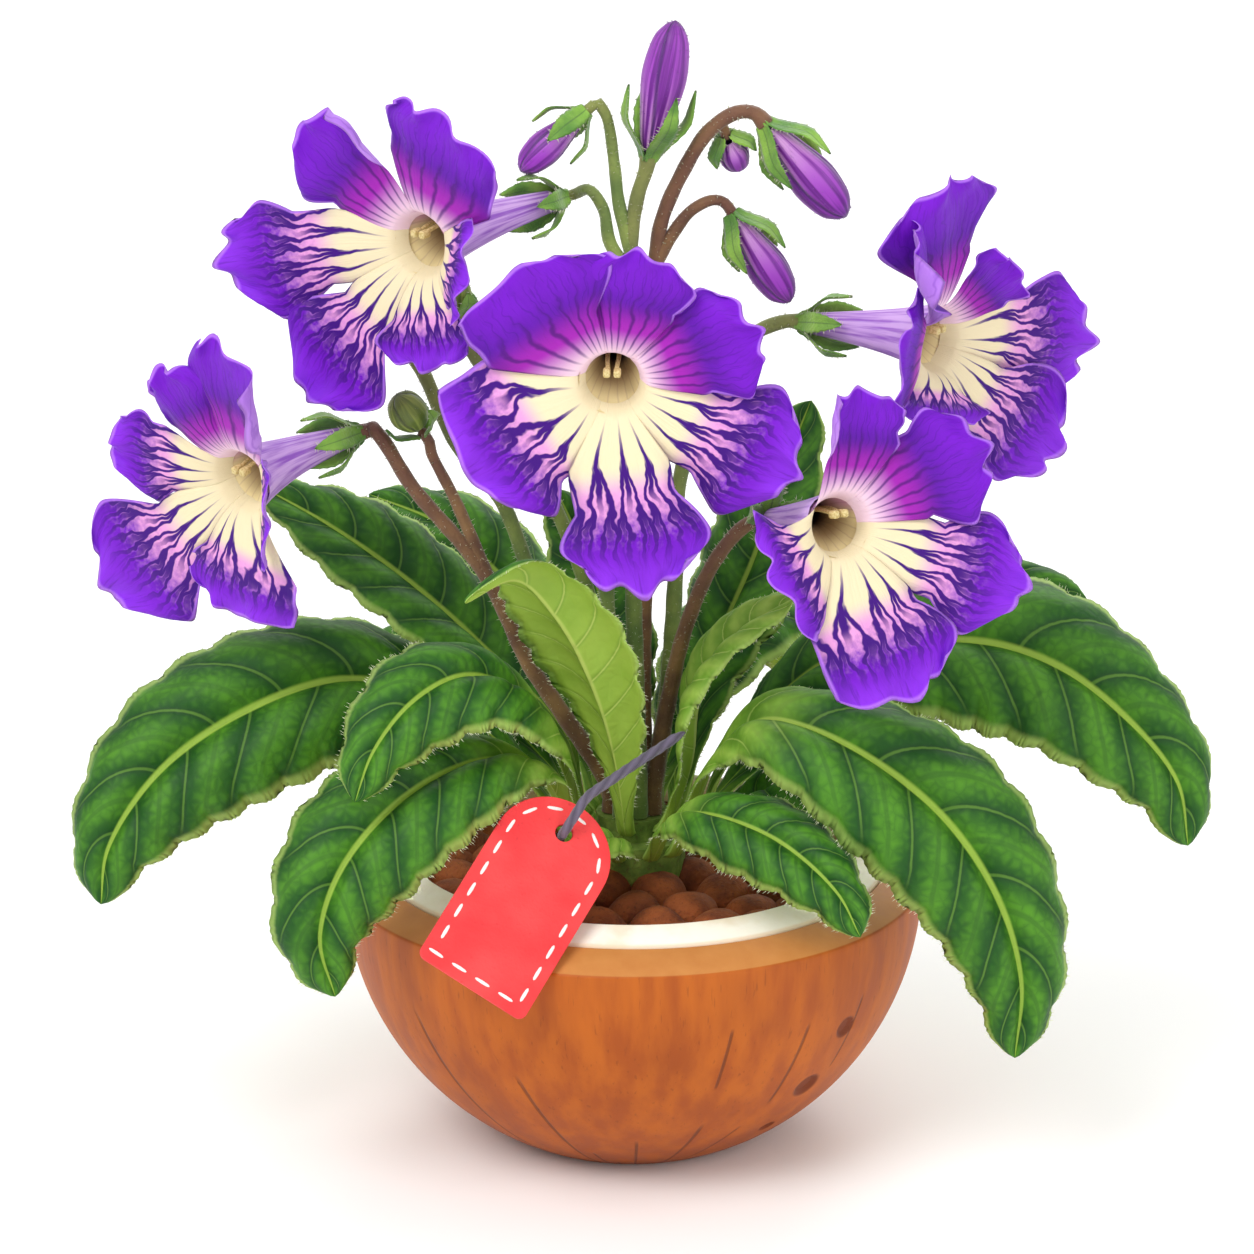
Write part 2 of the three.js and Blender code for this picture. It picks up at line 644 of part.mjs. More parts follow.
function lobeBlade(bloom, lobe) {
  const surface = lobeSurface(bloom, lobe);
  const points = [];
  const rows = LOBE_ROWS.map(({ at, count, reach }) => {
    return Array.from({ length: count }, (_, i) => {
      const share = i / (count - 1);
      points.push(surface(at, mix(-reach, reach, share)));
      return { index: points.length - 1, at: share };
    });
  });
  const triangles = rows.slice(1).flatMap((row, i) => strip(rows[i], row));
  return slab(points, triangles, () => PETAL.thickness);
}

const corolla = (bloom) => {
  return fused([corollaTube(bloom), ...bloom.lobes.map((lobe) => lobeBlade(bloom, lobe))]);
};

// Two stamens that run along the upper wall of the tube and join at their anthers in the throat
function stamens(bloom) {
  const { up, right, facing } = bloomFrame(bloom);
  const route = tubeLine(bloom);
  const place = (u, high, wide) => {
    const point = route.getPointAt(u).addScaledVector(up, high).addScaledVector(right, wide);
    return [point.x, point.y, point.z];
  };
  const parts = [-1, 1].map((side) => {
    return roundTube([place(0.62, 3.1, 1.2 * side), place(0.85, 3.4, 1.2 * side),
      place(1, 2.4, 0.7 * side)], 0.5, 3, 1);
  });
  for (const side of [-1, 1]) {
    const anther = new THREE.SphereGeometry(1, 5, 3);
    anther.scale(1.15, 1, 1.9);
    anther.applyQuaternion(new THREE.Quaternion().setFromUnitVectors(UP, facing));
    const spot = vec(place(1, 2.4, 0.7 * side));
    anther.translate(spot.x, spot.y, spot.z);
    parts.push(anther);
  }
  return fused(parts);
}

// Buds

// Each bud: where it sits on its stalk, the way it points, its length and its widest radius
const BUDS = {
  nodding_left: { base: [-11.5, -0.5, 239], facing: [-0.73, -0.1, -0.66], length: 18, radius: 4 },
  upright: { base: [3.6, 0, 230.5], facing: [0.19, 0, 0.98], length: 30, radius: 5.2 },
  nodding_right: { base: [30, 3.8, 235], facing: [0.66, -0.1, -0.74], length: 26, radius: 5.4 },
  nodding_inner: { base: [22.8, 3.9, 214.2], facing: [0.55, -0.1, -0.83], length: 22, radius: 4.7 },
  small_top: { base: [21, 7, 231.5], facing: [0.35, 0.3, -0.88], length: 8, radius: 3.6 },
  small_left: { base: [-47.6, -9.2, 169.6], facing: [-0.5, -0.2, 0.84], length: 9.5, radius: 4.5 },
  hidden_green: { base: [-49.8, 3, 187.5], facing: [-0.1, 0.2, 0.97], length: 8, radius: 3.4 },
  hidden_olive: { base: [-39, 4, 193.2], facing: [-0.1, 0.2, 0.97], length: 8, radius: 3.4 },
};

function budBody(bud) {
  const long = bud.length > 12;
  const profile = (long
    ? [[0, 0], [0.45, 0.08], [0.72, 0.28], [1, 0.58], [0.82, 0.82], [0.36, 0.96], [0, 1]]
    : [[0, 0], [0.6, 0.1], [1, 0.42], [0.82, 0.78], [0.35, 0.96], [0, 1]]
  ).map(([r, z]) => [r * bud.radius, z * bud.length]);
  const body = turned(profile, 7);
  const facing = vec(bud.facing).normalize();
  body.applyQuaternion(new THREE.Quaternion().setFromUnitVectors(UP, facing));
  const place = vec(bud.base).addScaledVector(facing, GAP);
  body.translate(place.x, place.y, place.z);
  return body;
}

// The green sepals round a bloom's tube or a bud: narrow pointed blades from the stem's end
function calyx(start, forward, size, count, spread) {
  const level = Math.abs(forward.z) > 0.9 ? new THREE.Vector3(1, 0, 0) : UP;
  const rise = level.clone().addScaledVector(forward, -level.dot(forward)).normalize();
  const across = rise.clone().cross(forward);
  const parts = [];
  for (let i = 0; i < count; i += 1) {
    const turn = (TAU * (i + 0.25)) / count;
    const out = across.clone().multiplyScalar(Math.cos(turn)).addScaledVector(rise, Math.sin(turn));
    const tangent = forward.clone().cross(out);
    const at = (along, away, wide) => start
      .clone()
      .addScaledVector(forward, along)
      .addScaledVector(out, away)
      .addScaledVector(tangent, wide);
    const points = [
      at(-SEPAL.root, SEPAL.foot, 0),
      at(size * 0.3, mix(SEPAL.foot, spread, 0.85), -SEPAL.half),
      at(size * 0.3, mix(SEPAL.foot, spread, 0.85), SEPAL.half),
      at(size, spread + size * 0.1, 0),
    ];
    const triangles = [[0, 2, 1], [1, 2, 3]];
    parts.push(slab(points, triangles, () => SEPAL.thickness));
  }
  return parts;
}

// Flower stalks

// Each stalk: the direction in degrees that it stands at on the crown, its colour, and its
// branches. The first branch is the stalk itself, from the crown up. A branch has its line, which
// ends at the calyx of the bloom or bud that it carries.
const STALKS = {
  stalk_left: {
    from: 195, colour: "stalkBrown",
    branches: [
      { line: [[-16.5, -5, 101.8], [-23.5, -6, 113.2], [-33.5, -8, 135.4], [-49.6, -10, 156.6],
        [-55.3, -9.5, 166.2], [-58, -8.4, 169.4]], carries: "left" },
      { line: [[-32.5, -8, 134], [-39.8, -9, 152.8], [-45.1, -9, 164]], carries: "small_left" },
    ],
  },
  stalk_left_green: {
    from: 150, colour: "stalkGreen",
    branches: [
      { line: [[-9, 3, 92.9], [-16.6, 4, 113.9], [-23.8, 4, 132.9], [-30, 3, 149.5],
        [-39.6, 3, 162.1], [-47.1, 3, 179.1]], carries: "hidden_green" },
    ],
  },
  stalk_left_olive: {
    from: 105, colour: "stalkGreen",
    branches: [
      { line: [[-4, 6, 92.9], [-7.5, 7, 106.7], [-11.5, 7, 130.5], [-23.2, 6, 158.3],
        [-33.2, 4, 178.8]], carries: "hidden_olive" },
    ],
  },
  stalk_middle: {
    from: 285, colour: "stalkGreen",
    branches: [
      { line: [[0.8, -3, 102.6], [-0.4, -2, 150.1], [-0.6, 0, 200], [-0.3, 0, 212],
        [1.1, 0, 221]], carries: "upright" },
      { line: [[-1, 0, 203], [-5.2, 0, 210], [-6.6, 0, 217.5], [-9.6, 0, 221.9]],
        carries: "upper_left" },
      { line: [[-0.6, 0, 208], [-3.2, 0, 219], [-4.2, 0, 228], [-6, 0, 238.9], [-8.4, 0, 242.4]],
        carries: "nodding_left" },
    ],
  },
  stalk_right: {
    from: 60, colour: "stalkBrown",
    branches: [
      { line: [[2.2, 6, 101.5], [3, 6, 148.8], [4.8, 4, 203], [6.4, 4, 214], [10.8, 4, 224.6],
        [17, 4, 234.6], [23.2, 4, 238.6]], carries: "nodding_right" },
      { line: [[5, 4, 204], [9.2, 4, 211.4], [13, 4, 216.2], [17.8, 4, 218.6]],
        carries: "nodding_inner" },
      { line: [[16, 4, 233.4], [18.2, 5.4, 235]], carries: "small_top" },
    ],
  },
  stalk_front: {
    from: 240, colour: "stalkGreen",
    branches: [
      { line: [[-4, -8, 102], [-5.6, -7.8, 120], [-6.1, -6.6, 150], [-5.8, -3.6, 180],
        [-4.8, -2.4, 193]], carries: "centre" },
    ],
  },
  stalk_right_lower: {
    from: 330, colour: "stalkBrown",
    branches: [
      { line: [[8.6, -1.5, 106], [12.2, -3.4, 121.9], [18.4, -5.4, 137.4], [25, -5.6, 145.6]],
        carries: "right_lower" },
    ],
  },
  stalk_right_upper: {
    from: 15, colour: "stalkGreen",
    branches: [
      { line: [[8, 4.6, 104], [9.6, 6, 130], [10.4, 6, 152], [17, 9, 172.8], [26.1, 9.3, 185.5]],
        carries: "upper_right" },
    ],
  },
};

// Where the calyx of a bloom or a bud starts, the way it points and its sepals' size
function calyxSeat(name) {
  const bloom = BLOOMS[name];
  if (bloom) {
    const forward = tubeLine(bloom).getTangentAt(0);
    const start = vec(bloom.base).addScaledVector(forward, -GAP - PETAL.tubeWall);
    return { start, forward, size: 11, count: 5, spread: 5.6 };
  }
  const bud = BUDS[name];
  const forward = vec(bud.facing).normalize();
  const count = bud.length > 12 ? 4 : 3;
  return { start: vec(bud.base), forward, size: bud.length / 2, count, spread: bud.radius + 1.2 };
}

function flowerStalk(stalk) {
  const turn = rad(stalk.from);
  const foot = [STALK_RING * Math.cos(turn), STALK_RING * Math.sin(turn), CROWN.topZ + GAP];
  const upright = [foot[0], foot[1], foot[2] + 5];
  const parts = stalk.branches.flatMap(({ line, carries }, i) => {
    const { start, forward, size, count, spread } = calyxSeat(carries);
    const turnIn = start.clone().addScaledVector(forward, -2 * SEPAL.root).toArray();
    const end = [turnIn, start.toArray()];
    const stem = i === 0
      ? roundTube([foot, upright, ...line, ...end], SCAPE_RADIUS, 6, 2 * line.length)
      : roundTube([...line, ...end], PEDICEL_RADIUS, 5, line.length + 2);
    return [stem, ...calyx(start, forward, size, count, spread)];
  });
  return fused(parts);
}

// Tag and cord

const TAG = {
  length: 51.3, width: 27.4, thickness: 1, corner: 2, holeRadius: 2, holeFromTop: 7.6,
  low: [-36, -72, 60], along: [24, 34, 30], across: [23, -3.6, -14.3],
};
const CORD_RADIUS = 1.15;
// From the leaf stalk, over the tag's top edge and through its hole
const CORD_ROUTE = [
  [11.6, -26.1, 103.8], [9.2, -27.4, 102.7], [6.1, -28.8, 101], [1.6, -32.4, 99.2], [-5, -37.5, 96.3],
  [-10.3, -42.2, 93.9], [-12.7, -44.4, 90.9], [-14.5, -44.7, 88], [-15.4, -43.9, 86.3],
  [-16.1, -42, 84.6], [-16.7, -40.9, 83.4],
];

function hangTag() {
  const half = TAG.width / 2;
  const shape = new THREE.Shape();
  shape.moveTo(-half + TAG.corner, 0);
  shape.lineTo(half - TAG.corner, 0);
  shape.absarc(half - TAG.corner, TAG.corner, TAG.corner, -Math.PI / 2, 0, false);
  shape.lineTo(half, TAG.length - half);
  shape.absarc(0, TAG.length - half, half, 0, Math.PI, false);
  shape.lineTo(-half, TAG.corner);
  shape.absarc(-half + TAG.corner, TAG.corner, TAG.corner, Math.PI, 1.5 * Math.PI, false);
  const hole = new THREE.Path();
  hole.absarc(0, TAG.length - TAG.holeFromTop, TAG.holeRadius, 0, TAU, true);
  shape.holes.push(hole);
  const tag = new THREE.ExtrudeGeometry(shape, {
    depth: TAG.thickness,
    bevelEnabled: false,
    curveSegments: 4,
  });
  const along = vec(TAG.along).normalize();
  const across = vec(TAG.across);
  across.addScaledVector(along, -across.dot(along)).normalize();
  const front = across.clone().cross(along);
  tag.applyMatrix4(new THREE.Matrix4().makeBasis(across, along, front));
  tag.translate(...TAG.low);
  return tag;
}

// The model

addPiece("coconut_shell", coconutShell(), COLOURS.shell, 0.45);
addPiece("white_lining", whiteLining(), COLOURS.flesh, 0.6);
addPiece("clay_medium", clayMedium(), COLOURS.clay, 0.8);
addPiece("crown", crown(), COLOURS.crown, 0.6);
for (const [name, leaf] of Object.entries(LEAVES)) {
  addPiece(name, leafBlade(leaf), leaf.cup > 0 ? COLOURS.leafLight : COLOURS.leafDark);
}
for (const [name, stalk] of Object.entries(STALKS)) {
  addPiece(name, flowerStalk(stalk), COLOURS[stalk.colour]);
}
for (const [name, bloom] of Object.entries(BLOOMS)) {
  addPiece(`corolla_${name}`, corolla(bloom), COLOURS.petal, 0.55);
  addPiece(`stamens_${name}`, stamens(bloom), COLOURS.anther);
}
for (const [name, bud] of Object.entries(BUDS)) {
  addPiece(`bud_${name}`, budBody(bud), COLOURS.bud, 0.5);
}
addPiece("hang_tag", hangTag(), COLOURS.tag, 0.7);
addPiece("tag_cord", roundTube(CORD_ROUTE, CORD_RADIUS, 6, 13), COLOURS.cord, 0.7);

export default model;
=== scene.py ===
# %% [markdown]
# # A potted cape primrose
# The plant is a rosette of quilted leaves, with violet funnel blooms and buds on hairy stalks.
# It grows in half a coconut shell filled with clay balls, and a plain red tag is tied to a leaf.
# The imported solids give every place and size; the pieces below lie over them, in metres.

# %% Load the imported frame
import math
import random
from functools import lru_cache, reduce

import bmesh
import bpy
from mathutils import Matrix, Vector


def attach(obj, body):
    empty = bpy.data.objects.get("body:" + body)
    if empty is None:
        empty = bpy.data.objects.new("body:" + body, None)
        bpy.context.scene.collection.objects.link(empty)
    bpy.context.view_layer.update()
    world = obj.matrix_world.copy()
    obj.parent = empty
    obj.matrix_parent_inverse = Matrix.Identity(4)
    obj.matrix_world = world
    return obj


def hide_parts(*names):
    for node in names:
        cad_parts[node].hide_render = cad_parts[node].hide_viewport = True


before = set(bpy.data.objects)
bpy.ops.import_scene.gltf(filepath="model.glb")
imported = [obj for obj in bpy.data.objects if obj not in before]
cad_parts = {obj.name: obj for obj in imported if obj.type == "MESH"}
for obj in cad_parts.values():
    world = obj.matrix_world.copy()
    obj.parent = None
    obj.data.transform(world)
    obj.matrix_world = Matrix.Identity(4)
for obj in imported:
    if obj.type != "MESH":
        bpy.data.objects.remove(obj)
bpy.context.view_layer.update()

# %% [markdown]
# ## Camera
# The picture was taken from a little above, from far enough that nothing looks stretched. A long
# lens from 1.5 m away gives the same flat, close view, so the camera needs no shift.

# %% The camera
MM = 0.001
FRAME_PIXELS = 1254
MM_PER_PIXEL = 0.2265
CAMERA_DISTANCE = 1500
CAMERA_TILT = math.radians(18)
SENSOR = 36
LOOKS_AT = Vector((-1.36, 0, 120))

back = Vector((0, -math.cos(CAMERA_TILT), math.sin(CAMERA_TILT)))
camera = bpy.data.objects.new("camera", bpy.data.cameras.new("camera"))
bpy.context.scene.collection.objects.link(camera)
camera.data.sensor_width = SENSOR
camera.data.lens = SENSOR * CAMERA_DISTANCE / (MM_PER_PIXEL * FRAME_PIXELS)
camera.location = (LOOKS_AT + back * CAMERA_DISTANCE) * MM
camera.rotation_euler = (-back).to_track_quat("-Z", "Y").to_euler()
camera.data.clip_end = 20
bpy.context.scene.camera = camera
print("lens", round(camera.data.lens, 1))

# %% [markdown]
# ## Small helpers
# Every grown piece here is a soft skin, so one helper serves most of them. It starts from a flat
# grid and carries each of its points to a place that depends on two shares: how far along the
# piece it lies, and how far across. Curves through a few points give the pieces their lines.

# %% Shares and blends
TAU = 2 * math.pi
UP = Vector((0, 0, 1))
RIGHT = Vector((1, 0, 0))


def mix(a, b, t):
    return a + (b - a) * t


def smooth(t):
    t = min(1, max(0, t))
    return t * t * (3 - 2 * t)


def squared(way, axis):
    """A direction turned square to an axis."""
    return (way - axis * way.dot(axis)).normalized()


def on_ring(spot, across, rise, radius, s):
    """A place on the ring round a tube's line; s runs round it from -1 to 1."""
    turn = math.pi * s
    return spot + across * radius * math.cos(turn) + rise * radius * math.sin(turn)


# %% A smooth line through points
class Route:
    """A smooth line through points in millimetres, read by the share of its length."""

    def __init__(self, points, steps=24):
        knots = [Vector(p) for p in points]
        knots = [2 * knots[0] - knots[1], *knots, 2 * knots[-1] - knots[-2]]
        self.places = [knots[1]]
        for p0, p1, p2, p3 in zip(knots, knots[1:], knots[2:], knots[3:]):
            a, b, c = [max((q - p).length, 1e-6) ** 0.5 for p, q in ((p0, p1), (p1, p2), (p2, p3))]
            start = ((p1 - p0) / a - (p2 - p0) / (a + b) + (p2 - p1) / b) * b
            end = ((p2 - p1) / b - (p3 - p1) / (b + c) + (p3 - p2) / c) * b
            for i in range(1, steps + 1):
                t = i / steps
                bend = (2 * t**3 - 3 * t**2 + 1) * p1 + (t**3 - 2 * t**2 + t) * start
                self.places.append(bend + (3 * t**2 - 2 * t**3) * p2 + (t**3 - t**2) * end)
        self.reach = [0]
        for p, q in zip(self.places, self.places[1:]):
            self.reach.append(self.reach[-1] + (q - p).length)
        self.length = self.reach[-1]

    def at(self, share):
        goal = min(1, max(0, share)) * self.length
        low, high = 0, len(self.reach) - 1
        while high - low > 1:
            middle = (low + high) // 2
            low, high = (middle, high) if self.reach[middle] <= goal else (low, middle)
        part = (goal - self.reach[low]) / max(self.reach[high] - self.reach[low], 1e-9)
        return self.places[low].lerp(self.places[high], part)

    def heading(self, share):
        return (self.at(share + 0.004) - self.at(share - 0.004)).normalized()

    def frames(self, rows):
        """A place, a heading and two directions across it for each row, without twist."""
        found = []
        across = self.heading(0).orthogonal().normalized()
        for i in range(rows + 1):
            heading = self.heading(i / rows)
            across = squared(across, heading)
            found.append((self.at(i / rows), heading, across, heading.cross(across)))
        return found


# %% Skins and hairs
def face_mark(bm, name):
    """A number on each face that a finish can read."""
    return bm.faces.layers.float.get(name) or bm.faces.layers.float.new(name)


def skin(bm, rows, columns, place, part=0, lower=0, flip=False):
    """A flat grid whose points are carried to place(u, s), u from 0 to 1 and s from -1 to 1."""
    made = bmesh.ops.create_grid(bm, x_segments=columns, y_segments=rows, size=1)["verts"]
    surface = bm.loops.layers.uv.verify()
    part_layer, lower_layer = face_mark(bm, "part"), face_mark(bm, "lower")
    faces = {face for vert in made for face in vert.link_faces}
    for face in faces:
        face[part_layer] = part
        face[lower_layer] = lower
        for loop in face.loops:
            loop[surface].uv = ((loop.vert.co.y + 1) / 2, loop.vert.co.x)
    for vert in made:
        vert.co = place(round((vert.co.y + 1) / 2, 6), round(vert.co.x, 6)) * MM
    if flip:
        bmesh.ops.reverse_faces(bm, faces=list(faces))


def add_hairs(bm, spots, part, radius):
    """Fine three-sided spikes; a spot is a root, a direction and a length."""
    hairs = bmesh.new()
    for root, way, length in spots:
        turn = way.to_track_quat("Z", "Y").to_matrix().to_4x4()
        middle = Matrix.Translation((root + way * length * 0.45) * MM)
        bmesh.ops.create_cone(
            hairs, cap_ends=True, segments=3, radius1=radius * MM, radius2=0,
            depth=length * MM, matrix=middle @ turn)
    part_layer = face_mark(hairs, "part")
    for face in hairs.faces:
        face[part_layer] = part
    loose = bpy.data.meshes.new("hairs")
    hairs.to_mesh(loose)
    hairs.free()
    bm.from_mesh(loose)
    bpy.data.meshes.remove(loose)


# %% Seams, edges and finished pieces
def close(bm):
    """Joins the points that lie on each other, at seams and poles."""
    bmesh.ops.remove_doubles(bm, verts=bm.verts, dist=1e-6)


def soften(bm, edges, width, segments):
    """Rounds edges over, to a width in millimetres."""
    bmesh.ops.bevel(bm, geom=edges, offset=width * MM, segments=segments, profile=0.5,
                    affect="EDGES", material=-1)


def new_object(name, bm, finish):
    mesh = bpy.data.meshes.new(name)
    bm.to_mesh(mesh)
    bm.free()
    mesh.materials.append(finish)
    made = bpy.data.objects.new(name, mesh)
    bpy.context.scene.collection.objects.link(made)
    return made


def finish_piece(name, bm, finish, slot, *nodes, smooth_faces=True):
    """Makes the mesh a piece that rides on the plant and stands for its CAD nodes."""
    piece = new_object(name, bm, finish)
    if piece.data.uv_layers:
        piece.data.uv_layers[0].name = "surface"
    piece.data.polygons.foreach_set("use_smooth", [smooth_faces] * len(piece.data.polygons))
    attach(piece, "root")
    if nodes:
        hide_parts(*nodes)
    return piece


# %% [markdown]
# ## Shader maths
# A finish is a set of masks: where the vein is, where the rim is, how blotchy the skin is. Such
# masks read best as sums and products, so one small class wraps a node's socket and adds a Math
# node for each operator. Colours are blended with Mix nodes.

# %% Sockets that add up
class Tap:
    """A node's output that takes part in sums and products."""

    def __init__(self, palette, socket):
        self.palette = palette
        self.socket = socket

    def maths(self, operation, *others):
        values = dict(enumerate((self, *others)))
        return self.palette.add("ShaderNodeMath", {"operation": operation}, values)

    def __add__(self, other):
        return self.maths("ADD", other)

    def __sub__(self, other):
        return self.maths("SUBTRACT", other)

    def __rsub__(self, other):
        return self.palette.add("ShaderNodeMath", {"operation": "SUBTRACT"}, {0: other, 1: self})

    def __mul__(self, other):
        return self.maths("MULTIPLY", other)

    def __truediv__(self, other):
        return self.maths("DIVIDE", other)

    def __pow__(self, other):
        return self.maths("POWER", other)

    __radd__ = __add__
    __rmul__ = __mul__

    def away(self):
        return self.maths("ABSOLUTE")

    def wave(self):
        """The distance to the nearest whole number, from 0 to 1."""
        return self.maths("PINGPONG", 0.5) * 2

    def ramp(self, low, high):
        """0 below low and 1 above high, with soft ends; low above high turns it round."""
        values = {0: self, 1: min(low, high), 2: max(low, high)}
        settings = {"interpolation_type": "SMOOTHSTEP"}
        rising = self.palette.add("ShaderNodeMapRange", settings, values)
        return rising if low < high else 1 - rising

    def most(self, other):
        return self.maths("MAXIMUM", other)


# %% A palette of nodes
# How many millimetres red, green and blue light run on in soft tissue
LIGHT_REACH = (0.6, 0.4, 0.25)


class Palette:
    """A material's nodes, with its shader and the coordinates that the masks start from."""

    def __init__(self, name):
        self.material = bpy.data.materials.new(name)
        self.material.use_nodes = True
        self.tree = self.material.node_tree
        self.shader = self.tree.nodes["Principled BSDF"]
        coordinates = self.tree.nodes.new("ShaderNodeTexCoord")
        self.place = Tap(self, coordinates.outputs["Object"])

    def add(self, kind, settings, values, output=0):
        node = self.tree.nodes.new(kind)
        for key, value in settings.items():
            setattr(node, key, value)
        for key, value in values.items():
            self.feed(node.inputs[key], value)
        return Tap(self, node.outputs[output])

    def feed(self, socket, value):
        if isinstance(value, Tap):
            self.tree.links.new(value.socket, socket)
        else:
            socket.default_value = value

    def noise(self, size, detail=3, roughness=0.5, stretch=(1, 1, 1)):
        """Cloudy noise about 0.5, with blotches of the size given in millimetres."""
        at = self.add("ShaderNodeMapping", {}, {0: self.place, 3: stretch})
        values = {"Vector": at, "Scale": 1 / (size * MM), "Detail": detail, "Roughness": roughness}
        return self.add("ShaderNodeTexNoise", {}, values)

    def cells(self, size):
        """The distance to the border of crumpled cells, 0 on the border."""
        values = {"Vector": self.place, "Scale": 1 / (size * MM)}
        return self.add("ShaderNodeTexVoronoi", {"feature": "DISTANCE_TO_EDGE"}, values)

    def surface(self):
        """The shares along and across a skin, as two taps."""
        uv = self.add("ShaderNodeUVMap", {"uv_map": "surface"}, {})
        return [self.add("ShaderNodeSeparateXYZ", {}, {0: uv}, output=i) for i in (0, 1)]

    def streaks(self, along, across, rolled=False):
        """Noise drawn out along a skin; rolled, it meets itself where the skin closes."""
        u, v = self.surface()
        turn = v * math.pi
        sides = (turn.maths("COSINE"), turn.maths("SINE")) if rolled else (v,)
        values = dict(enumerate([u * along, *[side * across for side in sides]]))
        at = self.add("ShaderNodeCombineXYZ", {}, values)
        return self.add("ShaderNodeTexNoise", {}, {"Vector": at, "Scale": 1, "Detail": 3})

    def axes(self):
        return [self.add("ShaderNodeSeparateXYZ", {}, {0: self.place}, output=i) for i in range(3)]

    def attribute(self, name):
        return self.add("ShaderNodeAttribute", {"attribute_name": name}, {}, output=2)

    def blend(self, a, b, share):
        values = {0: share, 6: a, 7: b}
        return self.add("ShaderNodeMix", {"data_type": "RGBA"}, values, output=2)

    def by_part(self, colour, *others):
        """The first colour on the faces of part 0, the next on those of part 1, and so on."""
        part = self.attribute("part")
        for number, other in enumerate(others, 1):
            colour = self.blend(colour, other, part.ramp(number - 0.6, number - 0.4))
        return colour

    def finish(self, colour, roughness, relief=None, height=0, sheen=0, subsurface=0, shine=0.5):
        """Feeds the shader; relief is a mask that a bump of so many millimetres follows."""
        self.feed(self.shader.inputs["Base Color"], colour)
        self.feed(self.shader.inputs["Roughness"], roughness)
        constants = {"Specular IOR Level": shine, "Sheen Weight": sheen}
        if subsurface:
            constants |= {"Subsurface Weight": subsurface, "Subsurface Radius": LIGHT_REACH,
                          "Subsurface Scale": MM}
        for socket, value in constants.items():
            self.shader.inputs[socket].default_value = value
        if relief is not None:
            values = {"Height": relief, "Distance": height * MM}
            bump = self.add("ShaderNodeBump", {}, values)
            self.feed(self.shader.inputs["Normal"], bump)
        return self.material


# %% Colours from a paint chart
def paint(red, green, blue):
    """A colour given as on a paint chart, 0 to 255, as the linear light that nodes use."""
    shares = [c / 255 for c in (red, green, blue)]
    light = [c / 12.92 if c <= 0.04045 else ((c + 0.055) / 1.055) ** 2.4 for c in shares]
    return (*light, 1)


# %% [markdown]
# ## The cord
# The tag hangs on a round twisted cord, 2.3 mm thick. It leaves a leaf stalk, runs down over the
# tag's top edge and goes through its hole, where a knot behind the card holds it. A cord is a
# tube round one line, so a grid is rolled round its route, and three grooves wind round it.

# %% The cord
CORD_RADIUS = 1.15
CORD_STRANDS = 3
# Millimetres along the cord in which a strand moves on by one
CORD_TURN = 5.5
CORD_ROWS = 160
KNOT_RADIUS = 1.9
CORD_ROUTE = [
    (11.6, -26.1, 103.8), (9.2, -27.4, 102.7), (6.1, -28.8, 101), (1.6, -32.4, 99.2),
    (-5, -37.5, 96.3), (-10.3, -42.2, 93.9), (-12.7, -44.4, 90.9), (-14.5, -44.7, 88),
    (-15.4, -43.9, 86.3), (-16.1, -42, 84.6), (-16.7, -40.9, 83.4),
]


def cord_finish():
    p = Palette("twisted_cord")
    u, s = p.surface()
    strand = (s * (CORD_STRANDS / 2) + u * (cord_line.length / CORD_TURN)).wave()
    fibre = (s * 14 + u * 90).wave()
    cloud = p.noise(2.5)
    base = p.blend(paint(58, 50, 66), paint(112, 102, 124), strand * 0.8 + cloud * 0.3)
    colour = p.blend(base, paint(150, 140, 160), fibre * 0.15)
    return p.finish(colour, 0.85, strand + fibre * 0.25, 0.25, sheen=0.3)


cord_line = Route(CORD_ROUTE)
cord_frames = cord_line.frames(CORD_ROWS)


def cord_place(u, s):
    spot, _, across, rise = cord_frames[round(u * CORD_ROWS)]
    winding = TAU * u * cord_line.length / CORD_TURN
    groove = abs(math.sin(CORD_STRANDS / 2 * math.pi * s + winding))
    end = min(1, 14 * min(u, 1 - u) + 0.02) ** 0.5
    return on_ring(spot, across, rise, CORD_RADIUS * end * mix(0.82, 1, groove**0.6), s)


bm = bmesh.new()
skin(bm, CORD_ROWS, 18, cord_place, flip=True)
close(bm)
cord = finish_piece("cord", bm, cord_finish(), "cord", "tag_cord")

bm = bmesh.new()
knot_spot = cord_line.at(1) + cord_line.heading(1) * 0.6
bmesh.ops.create_icosphere(bm, subdivisions=3, radius=KNOT_RADIUS * MM)
for vert in bm.verts:
    ridge = math.sin(2600 * vert.co.x + 1500 * vert.co.z) * 0.12
    vert.co = vert.co * (1 + ridge) + knot_spot * MM
cord_knot = finish_piece("cord_knot", bm, cord.data.materials[0], "cord")
print("cord", round(cord_line.length, 1), "mm")

# %% [markdown]
# ## The bowl
# The bowl is half a coconut shell, sanded smooth outside and oiled. Its rim is bevelled, and
# three round pores are sunk into its right side. A shell is a turned shape, so its outline is
# spun round the axis; the faces round the pores are then cut finer and pressed in.

# %% A spun shape
BOWL_CENTRE = 60.4
BOWL_RADIUS = 66.3
RIM_SLOPE = 0.467
SHELL_INNER = 58
FLESH_OUTER = 57.7
FLESH_INNER = 51
# The bowl is cut flat below, so that it stands
FOOT_RADIUS = math.sqrt(BOWL_RADIUS**2 - BOWL_CENTRE**2)
BOWL_STEPS = 180


def rim_height(radius):
    return BOWL_CENTRE + (BOWL_RADIUS - radius) * RIM_SLOPE


